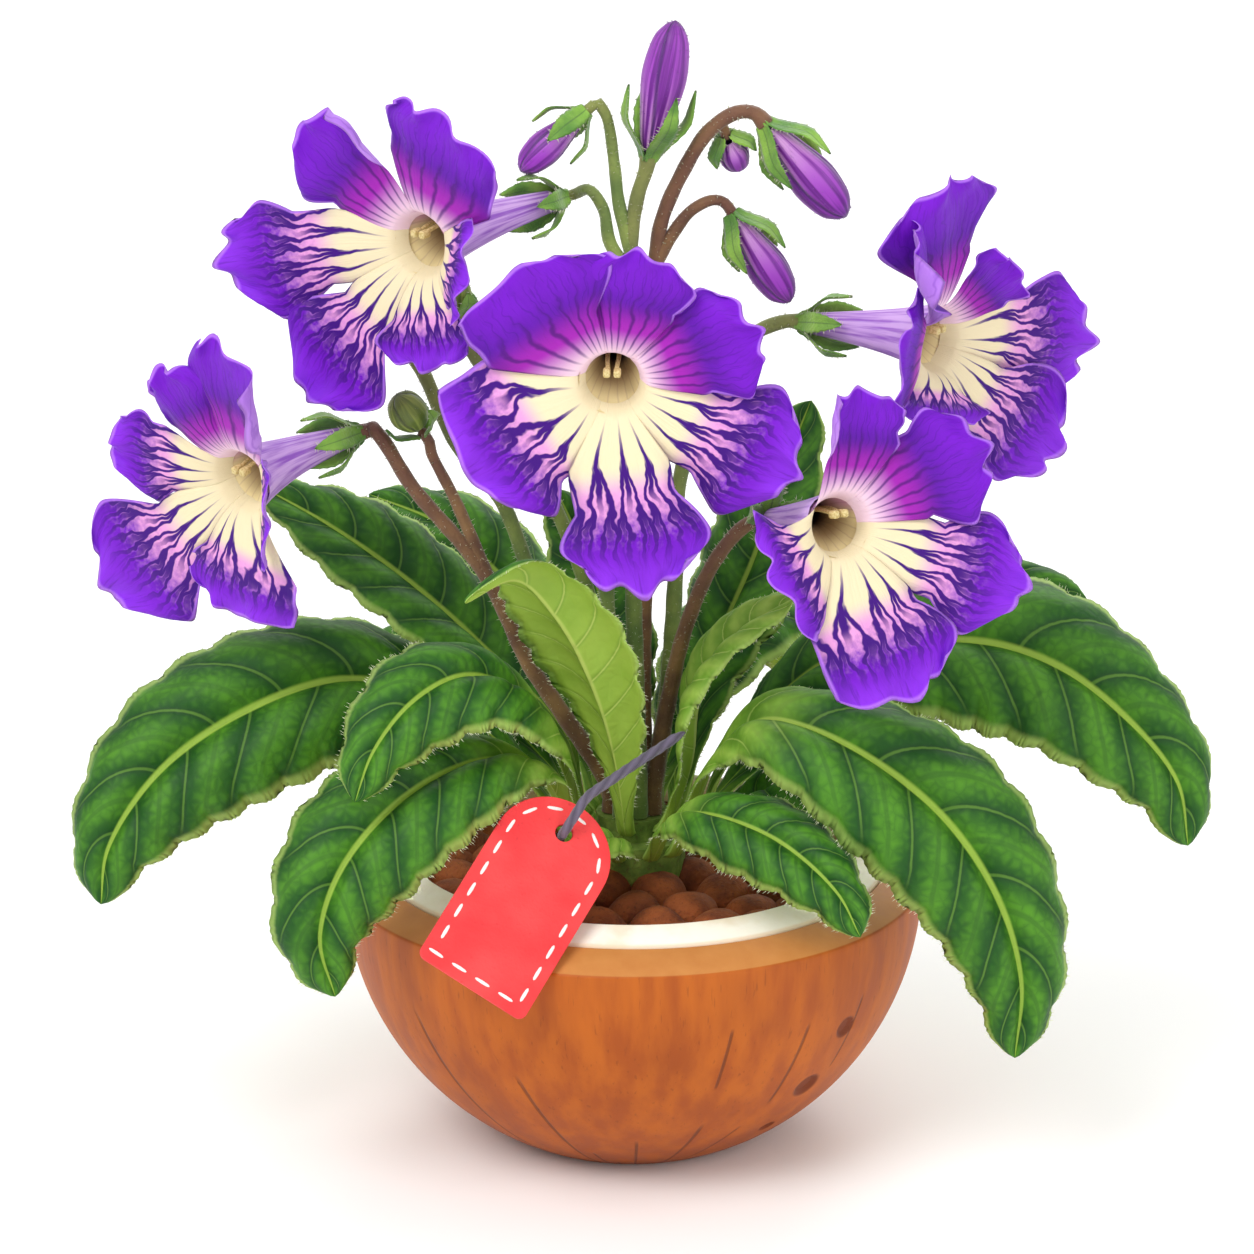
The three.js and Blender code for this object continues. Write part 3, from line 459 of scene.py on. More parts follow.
def arc(radius, start, end, steps):
    """Points of a meridian, from one distance off the axis to another."""
    low, high = [math.asin(min(1, r / radius)) for r in (start, end)]
    turns = [mix(low, high, i / steps) for i in range(steps + 1)]
    return [(radius * math.sin(t), BOWL_CENTRE - radius * math.cos(t)) for t in turns]


def wall(radius):
    """The outline of a half sphere from its lowest point, and on up to the rim."""
    return [*arc(radius, 0, radius, 16), (radius, rim_height(radius))]


def spun(bm, outline, steps):
    """Spins an outline of (distance, height) points round the upright axis."""
    verts = [bm.verts.new((r * MM, 0, z * MM)) for r, z in outline]
    edges = [bm.edges.new(pair) for pair in zip(verts, verts[1:])]
    bmesh.ops.spin(
        bm, geom=verts + edges, axis=UP, cent=(0, 0, 0), angle=TAU, steps=steps,
        use_merge=True, use_duplicate=False)
    close(bm)
    bmesh.ops.recalc_face_normals(bm, faces=bm.faces)


def round_rim(bm, width, segments):
    """Rounds over the sharp level edges at the top of a spun wall."""
    rim = [e for e in bm.edges if abs(e.verts[0].co.z - e.verts[1].co.z) < 1e-7
           and e.calc_face_angle(0) > 0.3 and e.verts[0].co.z > BOWL_CENTRE * MM - 1e-6]
    soften(bm, rim, width, segments)


# %% The shell's pores and lines
# Degrees round the shell and below the rim, and the radius
PORES = [(-40.5, 19, 2.9), (-45.5, 33, 3.6), (-48, 47, 2.1)]
PORE_DEPTH = 0.9
PORE_REACH = 1.7


def pore_place(around, down):
    turn, drop = math.radians(around), math.radians(down)
    reach = BOWL_RADIUS * math.cos(drop)
    return Vector((reach * math.cos(turn), reach * math.sin(turn),
                   BOWL_CENTRE - BOWL_RADIUS * math.sin(drop)))


# Dark lines: degrees round the shell and below the rim at both ends, and the width in degrees
STROKES = [
    (-140, 14, -127, 60, 0.9), (-116, 24, -104, 66, 0.9), (-103, 52, -99, 68, 0.8),
    (-96, 60, -95, 70, 0.8), (-89, 44, -89, 70, 0.8), (-72, 38, -79, 69, 0.9),
    (-60, 42, -70, 61, 0.8), (-52, 14, -56, 36, 0.7), (-70, 12, -72, 28, 0.6),
    (-37, 12, -40, 30, 0.6), (20, 20, 26, 60, 0.9), (75, 24, 70, 62, 0.8),
    (130, 16, 124, 58, 0.9), (170, 30, 165, 64, 0.8),
]


def shell_finish():
    p = Palette("coconut_shell")
    x, y, z = p.axes()
    around = y.maths("ARCTAN2", x) * math.degrees(1)
    reach = (x * x + y * y) ** 0.5
    down = (BOWL_CENTRE * MM - z).maths("ARCTAN2", reach) * math.degrees(1)
    grain = p.noise(5, detail=5, stretch=(1, 1, 0.16))
    fine = p.noise(0.8, detail=2, stretch=(1, 1, 0.12))
    cloud = p.noise(26, detail=2)
    base = p.blend(paint(160, 74, 10), paint(184, 94, 16), grain.ramp(0.3, 0.7))
    base = p.blend(base, paint(122, 52, 8), cloud.ramp(0.5, 0.8) * 0.25)
    # Painted shade: the shell is darker towards its bottom
    base = p.blend(base, paint(104, 44, 8), down.ramp(35, 75) * 0.45)
    base = p.blend(base, paint(84, 36, 8), fine.ramp(0.62, 0.75) * 0.3)
    strokes = []
    for turn, top, end_turn, bottom, width in STROKES:
        share = (down - top) / (bottom - top)
        off = (around - turn - share * (end_turn - turn)).away()
        taper = share * (1 - share) * 4
        strokes.append((off / width).ramp(0.8, 0.3) * taper.ramp(0, 0.4))
    lines = reduce(Tap.most, strokes)
    base = p.blend(base, paint(66, 26, 10), lines * 0.6)
    pits = []
    for *spot, size in PORES:
        values = {0: p.place, 1: pore_place(*spot) * MM}
        off = p.add("ShaderNodeVectorMath", {"operation": "DISTANCE"}, values, output=1)
        pits.append((off / (size * MM)).ramp(1.15, 0.85))
    base = p.blend(base, paint(116, 50, 14), reduce(Tap.most, pits))
    band = z.ramp(BOWL_CENTRE * MM, (BOWL_CENTRE + 0.3) * MM)
    tan = p.blend(paint(186, 114, 52), paint(208, 142, 76), grain)
    colour = p.blend(base, tan, band)
    return p.finish(colour, grain * 0.15 + 0.45, grain - lines * 0.8, 0.18, shine=0.3)


# %% The shell
bm = bmesh.new()
spun(bm, [(0, 0), (FOOT_RADIUS - 1, 0), *arc(BOWL_RADIUS, FOOT_RADIUS, BOWL_RADIUS, 56),
          *wall(SHELL_INNER)[::-1]], BOWL_STEPS)
centre = UP * BOWL_CENTRE * MM
for *around_down, size in PORES:
    spot = pore_place(*around_down) * MM
    for cuts in (1, 2):
        near = [e for e in bm.edges
                if all((v.co - spot).length < size * PORE_REACH * MM for v in e.verts)]
        bmesh.ops.subdivide_edges(bm, edges=near, cuts=cuts, use_grid_fill=True)
    for vert in bm.verts:
        outward = vert.co - centre
        off = (vert.co - spot).length / (size * MM)
        if outward.length > (BOWL_RADIUS - 1) * MM and off < PORE_REACH:
            deep = PORE_DEPTH * (1 - smooth((off - 0.55) / 0.45)) * MM
            vert.co = centre + outward.normalized() * (BOWL_RADIUS * MM - deep)
round_rim(bm, 0.5, 3)
shell = finish_piece("shell", bm, shell_finish(), "shell", "coconut_shell")
print("shell", len(shell.data.polygons), "faces")

# %% [markdown]
# ## The white flesh
# Inside the shell lies a layer of dry coconut flesh that shows as a broad white ring with soft
# edges. It is spun as the shell is, with its two rim edges rounded over.

# %% The flesh
def flesh_finish():
    p = Palette("coconut_flesh")
    cloud = p.noise(9, detail=4)
    fine = p.noise(0.9, detail=3)
    _, _, z = p.axes()
    colour = p.blend(paint(252, 244, 230), paint(238, 222, 196), cloud.ramp(0.4, 0.75))
    edge = z.ramp((rim_height(FLESH_OUTER) + 0.5) * MM, rim_height(FLESH_OUTER) * MM)
    colour = p.blend(colour, paint(222, 190, 150), edge * 0.6)
    return p.finish(colour, 0.55, fine * 0.5 + cloud * 0.5, 0.12, subsurface=0.1)


bm = bmesh.new()
spun(bm, [*wall(FLESH_OUTER), *wall(FLESH_INNER)[::-1]], BOWL_STEPS)
round_rim(bm, 0.8, 4)
flesh = finish_piece("white_flesh", bm, flesh_finish(), "lining", "white_lining")
print("flesh", len(flesh.data.polygons), "faces")

# %% [markdown]
# ## The clay balls
# The plant stands in fired clay balls, brown and rough, in one loose layer over the bed. They
# come from a hexagonal layout with small seeded shifts, the same draws as in the solids, and each
# is a pressed and dented ball of its own.

# %% The clay balls
BALL_RADIUS = 6.9
BALL_SPACING = 13.2
BALL_ROWS = 5
BALL_SHIFT = 2.4
BALL_HEIGHT = 59.4
BALL_DIP = 1.6
BALL_LIFT = 1.2
CROWN_RADIUS = 12
BED_TOP = 59


def clay_finish():
    p = Palette("fired_clay")
    cloud = p.noise(7, detail=3)
    grit = p.noise(0.9, detail=4, roughness=0.65)
    pits = p.cells(1.6)
    colour = p.blend(paint(110, 48, 20), paint(166, 86, 38), cloud.ramp(0.3, 0.7))
    colour = p.blend(colour, paint(58, 24, 11), grit.ramp(0.55, 0.7) * 0.5)
    colour = p.blend(colour, paint(176, 104, 58), grit.ramp(0.42, 0.3) * 0.35)
    return p.finish(colour, 0.78, grit + pits * 0.4, 0.5)


def draws(seed):
    """The solids' own seeded draws, from 0 to 1."""
    state = seed
    while True:
        state = (state * 1664525 + 1013904223) % 4294967296
        yield state / 4294967296


# %% Lay the balls
bed_radius = FLESH_INNER - 0.3
reach = bed_radius - BALL_RADIUS - 0.9
draw = draws(7)
dents = random.Random(3)
bm = bmesh.new()
spun(bm, [*arc(bed_radius, 0, bed_radius, 16), (bed_radius, BED_TOP), (0, BED_TOP)], 48)
balls = 0
for row in range(-BALL_ROWS, BALL_ROWS + 1):
    for column in range(-BALL_ROWS, BALL_ROWS + 1):
        shift = 0 if row % 2 == 0 else BALL_SPACING / 2
        x = column * BALL_SPACING + shift + (next(draw) - 0.5) * BALL_SHIFT
        y = row * BALL_SPACING * math.sin(math.radians(60)) + (next(draw) - 0.5) * BALL_SHIFT
        size = BALL_RADIUS * mix(0.88, 1, next(draw))
        lift = (next(draw) - 0.5) * BALL_LIFT
        away = math.hypot(x, y)
        if away > reach + BALL_SPACING / 2 or away < CROWN_RADIUS - 2:
            continue
        if away > reach:
            x, y = x * reach / away, y * reach / away
        turn = next(draw) * TAU
        z = BALL_HEIGHT - BALL_DIP * (away / reach) ** 2 + lift
        made = bmesh.ops.create_icosphere(bm, subdivisions=3, radius=size * MM)["verts"]
        phase = dents.uniform(0, TAU)
        long_way = Vector((math.cos(turn), math.sin(turn), 0))
        for vert in made:
            way = vert.co.normalized()
            dent = 0.035 * math.sin(3 * way.x + 4 * way.y + phase)
            dent += 0.02 * math.sin(7 * way.z - phase)
            vert.co *= 0.97 + dent
            vert.co += long_way * long_way.dot(vert.co) * 0.1
            vert.co.z *= 0.92
            vert.co += Vector((x, y, z)) * MM
        balls += 1
clay = finish_piece("clay_balls", bm, clay_finish(), "medium", "clay_medium")
print("clay balls", balls, "faces", len(clay.data.polygons))

# %% [markdown]
# ## Leaves
# A cape primrose leaf is a long tongue with a scalloped, hairy edge. The skin bulges between the
# side veins, which arch from the midrib to the edge, and the midrib is a trough above and a rib
# below. Each leaf is two grids, its upper and its lower skin, that meet along the edge.

# %% The leaves' routes and widths
# Ring on the crown, direction of the stalk, half width, teeth, how the halves arch, roll in
# degrees at the stalk and at the tip, and the midrib's points
LEAVES = {
    "leaf_left_large": (0, 176, 19, 13, -0.18, (-30, -60),
        [(-25, 1, 86), (-44, 3, 101.5), (-65, -2, 108), (-86, -9, 103.5),
         (-106, -16, 91.5), (-118, -22, 75), (-120, -24, 62)]),
    "leaf_left_upper": (1, 166, 14, 11, 0.1, (-14, -34),
        [(-16, 6, 93), (-35, 13, 111.5), (-52, 16, 126), (-69, 18, 138), (-85, 20, 147)]),
    "leaf_left_back": (1, 138, 13, 8, -0.05, (0, -30),
        [(-13, 26, 94), (-25, 45, 110), (-43, 56, 125.5), (-62, 62, 132.5)]),
    "leaf_left_arched": (1, 205, 12.5, 10, -0.25, (-16, -42),
        [(-17, -17, 97), (-29, -31, 116.5), (-39, -41, 121.5), (-49, -49, 118),
         (-57, -55, 109), (-61, -58, 98.5)]),
    "leaf_front_left": (0, 222, 15.5, 12, -0.2, (14, -60),
        [(-19, -18.5, 90.5), (-32, -31, 99), (-50, -46, 95.5), (-64, -56, 82.5),
         (-69, -60, 68), (-66, -58, 53)]),
    "leaf_front_upright": (1, 262, 11.5, 10, 0.1, (0, 40),
        [(-3.5, -18, 94), (-9, -26, 115), (-17, -33, 133), (-26, -37, 143),
         (-37, -41, 139)]),
    "leaf_right_pale": (1, 307, 11, 9, 0.12, (10, 30),
        [(12.5, -12, 92), (15, -15, 110), (24, -18, 124), (36, -20, 133)]),
    "leaf_right_large": (0, -4, 20, 14, -0.15, (14, 58),
        [(19, 0, 84), (30, 3, 99), (47, 6, 111), (77, 4, 115), (95, 0, 111),
         (110, -4, 101), (123, -8, 86), (126, -10, 71)]),
    "leaf_front_right_large": (0, -51, 18, 14, -0.2, (16, 50),
        [(17, -17, 92), (28, -28, 107), (38, -35, 108), (55, -42, 101), (70, -47, 89),
         (81, -50, 72), (86, -52, 54), (85, -52, 36)]),
    "leaf_front_right_small": (0, -73, 10, 8, -0.2, (10, 40),
        [(8, -24, 81), (15, -36, 88), (32, -49, 86), (45, -58, 77), (50, -61, 68)]),
    "leaf_front_small": (0, -105, 5.5, 5, -0.1, (-8, -24),
        [(-4, -22, 76), (-8, -29, 79), (-17, -34, 80)]),
    "leaf_right_lower": (0, -26, 12, 9, -0.1, (10, 34),
        [(20, -13, 79), (34, -20, 89), (49, -25, 94), (64, -29, 92)]),
    "leaf_right_tall": (1, 27, 12, 9, 0, (0, 26),
        [(17, 19, 103), (28, 27, 128), (36, 34, 150), (41, 36, 163)]),
    "leaf_back_left_inner": (1, 101, 11, 7, 0, (0, 0),
        [(-4, 24, 99), (-9, 36, 120), (-18, 42, 140)]),
    "leaf_back_right_inner": (1, 63, 11, 7, 0, (0, 0),
        [(14, 27, 97), (25, 41, 115), (38, 48, 122)]),
    "leaf_right_back": (0, 19, 15, 10, -0.12, (8, 36),
        [(28, 15, 84), (50, 27, 100), (74, 41, 111), (95, 43, 115), (106, 41, 112)]),
    "leaf_back_right": (0, 52, 16, 10, -0.2, (0, 0),
        [(11, 31, 86), (21, 52, 101), (33, 73, 101), (42, 89, 86), (47, 98, 66)]),
    "leaf_back": (0, 92, 16, 10, -0.2, (0, 0),
        [(-9, 29, 88), (-18, 49, 104), (-25, 72, 104), (-31, 90, 88), (-33, 99, 64)]),
    "leaf_back_left": (0, 132, 16, 10, -0.2, (0, 0),
        [(-24, 26, 83), (-42, 46, 96), (-60, 64, 94), (-74, 77, 77), (-80, 82, 56)]),
}
# Radius and height of the two rings of leaf stalks
LEAF_RINGS = [(13.2, 68.9), (9.8, 74)]
STALK_HALF = 2.1
TOOTH = 1.5
SCALLOP = 0.75
QUILT = 0.065
SIDE_VEINS = 9
VEIN_ARCH = 0.13


# %% A leaf's shape
def leaf_shape(ring, start, half_width, teeth, cup, roll, rib):
    """Gives place(u, s, side), side 1 for the upper skin and -1 for the lower, the directions
    across each row, and the leaf's length."""
    radius, height = LEAF_RINGS[ring]
    turn = math.radians(start)
    outward = Vector((math.cos(turn), math.sin(turn), 0))
    base = outward * radius + UP * height
    neck = base + outward * 2.3 + UP * 1.9
    line = Route([base, neck, *rib])
    plan = line.at(1) - base
    plan.z = 0
    stalk_side = Vector((math.sin(turn), -math.cos(turn), 0))
    blade_side = plan.normalized().cross(UP)

    @lru_cache(None)
    def row(u):
        heading = line.heading(u)
        side = squared(stalk_side.lerp(blade_side, smooth(u / 0.3)), heading)
        tilt = math.radians(mix(*roll, u) * smooth(u / 0.25))
        side = Matrix.Rotation(tilt, 3, heading) @ side
        blade = min(1, max(0, (u - 0.06) / 0.94))
        swell = math.sin(math.pi * blade**1.28) ** mix(1.15, 0.6, blade) if 0 < blade < 1 else 0
        half = STALK_HALF * (1 - blade) + half_width * swell
        return line.at(u), side, side.cross(heading), half, swell, blade

    def place(u, s, side_of):
        spot, side, face, half, swell, blade = row(u)
        v = s * (0.55 + 0.45 * s * s)
        far = abs(v)
        tooth = TOOTH * abs(math.sin(math.pi * teeth * u)) * smooth(blade * 5)
        out = v * (half + (tooth - 0.5 * TOOTH) * far**4 * smooth(swell * 4))
        scallop = SCALLOP * (abs(math.sin(math.pi * 4 * teeth * u)) - 0.5) * smooth(swell * 3)
        out += math.copysign(scallop * far**10, v)
        ripple = 0.05 * half_width * math.sin(TAU * 2.5 * u + 2 * v) * far**3 * swell
        lift = half * (0.9 * far * (1 - far) + cup * far**2) * smooth(blade * 3)
        phase = SIDE_VEINS * (u - VEIN_ARCH * far**1.4) + (0.5 if v < 0 else 0)
        off = abs(phase - round(phase)) * 2
        quilt = QUILT * half_width * (1 - (1 - off) ** 2.5) * smooth(far * 4) * (1 - far**6) * swell
        rib_near = math.exp(-(v * half / 1.4) ** 2)
        thick = mix(2.4, 0.8, smooth(u / 0.22)) * (1 - far**6) * min(1, u / 0.012) ** 0.5
        if side_of > 0:
            skin_off = thick / 2 - 0.75 * rib_near * smooth(blade * 4) * (1 - u)
        else:
            skin_off = -thick / 2 - 0.9 * rib_near * (1 - u) * smooth(blade * 6)
        return spot + side * out + face * (lift + ripple + quilt + skin_off * (1 - far**8))

    return place, row, line.length


# %% The leaf's finish
def leaf_finish(name, pale_until):
    """A leaf is a pale young green up to a share of its length, and dark beyond."""
    p = Palette(name)
    u, s = p.surface()
    v = s * (s * s * 0.45 + 0.55)
    far = v.away()
    cloud = p.noise(14, detail=3)
    streak = p.noise(3, detail=3)
    net = p.cells(2.6)
    phase = (u - (far ** 1.4) * VEIN_ARCH) * SIDE_VEINS + v.ramp(0.001, -0.001) * 0.5
    off = phase.wave()
    # Painted shade in the sunken furrows along the side veins
    vein_furrow_shade = off.ramp(0.24, 0.03) * far.ramp(0.99, 0.8)
    vein = off.ramp(0.07, 0.02) * far.ramp(0.95, 0.7)
    rib = far.ramp(0.06, 0.025)
    # Painted highlight: lighter on the quilted bulges between the side veins and in the middles of
    # the net's cells, mixed with random cloudy tone
    light = (off * 0.5 + cloud * 0.7 + net.ramp(0.05, 0.4) * 0.12).ramp(0.35, 1.05)
    top = p.blend(paint(20, 76, 12), paint(78, 138, 26), light)
    # Painted shade: thin dark furrows midway between the side veins, and along the borders of the
    # net's cells
    between = (phase + 0.5).wave().ramp(0.16, 0.04) * far.ramp(0.95, 0.75)
    top = p.blend(top, paint(22, 66, 20), between.most(net.ramp(0.1, 0.02) * 0.35) * 0.4)
    # Painted shade in the vein furrows, together with random dark streaks
    top = p.blend(top, paint(20, 58, 18), (vein_furrow_shade * 0.6).most(streak.ramp(0.55, 0.8) * 0.35))
    top = p.blend(top, paint(104, 150, 52), vein * 0.5)
    top = p.blend(top, paint(150, 182, 66), rib * 0.9)
    low = p.blend(paint(126, 164, 48), paint(166, 192, 78), cloud)
    # The lower skin also gets painted shade in the vein furrows
    low = p.blend(low, paint(96, 138, 40), vein_furrow_shade * 0.4)
    low = p.blend(low, paint(192, 208, 108), vein.most(rib) * 0.6)
    # Young leaves get the same painted highlight on the bulges
    young = p.blend(paint(112, 158, 44), paint(158, 192, 78), light)
    young = p.blend(young, paint(190, 210, 110), vein.most(rib) * 0.6)
    youth = (cloud - 0.5) * u.ramp(pale_until, pale_until - 0.1)
    top = p.blend(top, young, u.ramp(pale_until, pale_until - 0.2) + youth)
    colour = p.by_part(top, low, paint(244, 250, 208))
    colour = p.blend(colour, paint(186, 220, 112), far.ramp(0.88, 0.96) * 0.85)
    relief = net.ramp(0, 0.3) * 0.2 * far.ramp(0.95, 0.85) + streak * 0.3 + off.ramp(0, 0.3) * 0.5
    return p.finish(colour, 0.6, relief, 0.25, shine=0.3)


# %% Grow the leaves
UPPER, UNDER, HAIR = 0, 1, 2
# Millimetres from hair to hair along a leaf's edge
HAIR_SPACING = 0.8
# The share of its length up to which a leaf is pale; the others have only a pale foot
PALE_FOOT = 0.2
PALE_UNTIL = {
    "leaf_right_pale": 1.4, "leaf_front_small": 1.2, "leaf_front_upright": 0.62,
    "leaf_left_arched": 0.5, "leaf_front_left": 0.44, "leaf_front_right_large": 0.42,
    "leaf_front_right_small": 0.45, "leaf_left_upper": 0.3,
}
LEAF_FINISHES = {share: leaf_finish(f"quilted_leaf_{i}", share)
                 for i, share in enumerate(sorted({PALE_FOOT, *PALE_UNTIL.values()}))}
fuzz = random.Random(11)
for name, leaf in LEAVES.items():
    _, _, half_width, teeth, *_ = leaf
    place, row, length = leaf_shape(*leaf)
    rows = max(90, teeth * 18)
    columns = 22 if half_width > 12 else 16
    bm = bmesh.new()
    skin(bm, rows, columns, lambda u, s: place(u, s, 1), UPPER)
    skin(bm, rows, columns, lambda u, s: place(u, s, -1), UNDER, flip=True)
    close(bm)
    spots = []
    for i in range(round(length * 2 / HAIR_SPACING)):
        edge = 1 if i % 2 else -1
        u = round(mix(0.1, 0.995, fuzz.random()), 6)
        _, side, face, *_ = row(u)
        way = side * edge + face * fuzz.uniform(-0.5, 0.5) + UP * fuzz.uniform(-0.3, 0.3)
        spots.append((place(u, edge, 1), way.normalized(), fuzz.uniform(0.7, 1.3)))
    add_hairs(bm, spots, HAIR, 0.07)
    finish = LEAF_FINISHES[PALE_UNTIL.get(name, PALE_FOOT)]
    finish_piece(name + "_blade", bm, finish, "leaf", name)
print("leaves", len(LEAVES), "finishes", len(LEAF_FINISHES))

# %% [markdown]
# ## Blooms
# A bloom is one funnel of petal: a slim tube that widens into a throat, where it parts into five
# to seven rounded lobes that lap over each other and ruffle at the front. Each lobe is a front and
# a back grid, because its two sides are coloured differently; a few have an edge that curls over.
# Two cream anthers on short threads sit in each throat.

# %% The blooms
# Where the tube starts and the throat opens, the way it faces, and its lobes: direction round
# the throat in degrees, length, width, lean of the tip and lift of the two sides
BLOOMS = {
    "upper_left": ((-17.3, 1, 219.4), (-46.3, -28, 216.9), (-0.6, -0.8, -0.04), [
        (68, 36, 34, 10, (0.2, -1.2)),
        (136, 36, 33, 9, (1.5, -1)),
        (-168, 52, 28, 9, (1.2, -1.2)),
        (-127, 47.5, 33, 8, (0.2, 1.3)),
        (-79, 27, 27, 6, (2.4, 1.3)),
        (-15, 18, 20, 8, (0.2, 1.3)),
    ]),
    "left": ((-63, -9.2, 167.8), (-86.3, -24, 162), (-0.64, -0.75, -0.18), [
        (86, 37, 24, 6, (9, -1)),
        (118, 30.5, 24, 7, (-1.2, -1.2)),
        (174, 33.5, 25, 8, (1.2, -1.2)),
        (-141, 51.5, 35, 10, (1.3, -0.6)),
        (-103, 32, 24, 6, (1.4, 0.2)),
        (-12, 15, 19, 9, (1.3, 1.3)),
    ]),
    "centre": ((-3, -9.5, 197.5), (-4.6, -46, 190.5), (-0.04, -0.99, -0.08), [
        (24, 35.5, 28, 7, (1.2, -1.2)),
        (79, 33.5, 29, 8, (1.2, -1.4)),
        (122, 35, 34, 8, (1.4, 1.4)),
        (-147, 36.5, 38, 8, (-1.5, -1.4)),
        (-81, 47, 34, 8, (1.3, 1.3)),
        (-26, 45, 34, 5.5, (-1.3, -1.3)),
    ]),
    "right_lower": ((31, -9.5, 148.6), (45, -48, 159), (0.45, -0.85, 0.25), [
        (20, 37, 29, 8, (0.2, -1.2)),
        (80, 29.5, 25, 8, (1.4, 1.3)),
        (-158, 23.5, 29, 8, (-1.2, 0.4)),
        (-76, 40.5, 33, 8, (-1.2, 1.3)),
        (-26, 45.5, 29, 8, (-0.6, -1.2)),
    ]),
    "upper_right": ((39.5, 6.9, 189.4), (67.5, -8.1, 189.7), (0.8, -0.6, 0), [
        (-11, 50, 32, 10, (-1.2, -1.2)),
        (48, 22, 19, 11, (1.2, 1.2)),
        (101, 40, 38, 8, (1.2, -5)),
        (126, 37, 24, 9, (-8, 11)),
        (160, 24.5, 22, 8, (0.2, 1.3)),
        (-105, 18, 31, 8, (-0.6, 1.3)),
        (-44, 46, 31, 12, (-1.2, 1.2)),
    ]),
}
# Lobes with an edge that rolls forwards: the side, where the roll starts and its radius
CURLS = {
    ("left", 0): (-1, 0.7, 4), ("right_lower", 1): (1, 0.3, 4), ("upper_left", 1): (-1, 0.5, 4),
}
# Radius of the tube at its foot and at the throat, and the petal's thickness
TUBE_FOOT = 2.3
THROAT = 8
PETAL = 0.5
# Inside, the throat narrows to this radius, and its mouth lies this far up
THROAT_NARROW, THROAT_RISE = 2.4, 2.2
# Neighbouring lobes meet out to the radius, unless they stand further apart than the last angle;
# a side that has no neighbour to meet spreads by the lone angle
JOIN_RADIUS, JOIN_OVERLAP, JOIN_WIDEST, JOIN_LONE, JOIN_APART = 18, 1.06, 48, 30, 100
# The lobes start this deep in the tube, at this radius
LIP_DEPTH, LIP_RADIUS = 3.2, 6.1


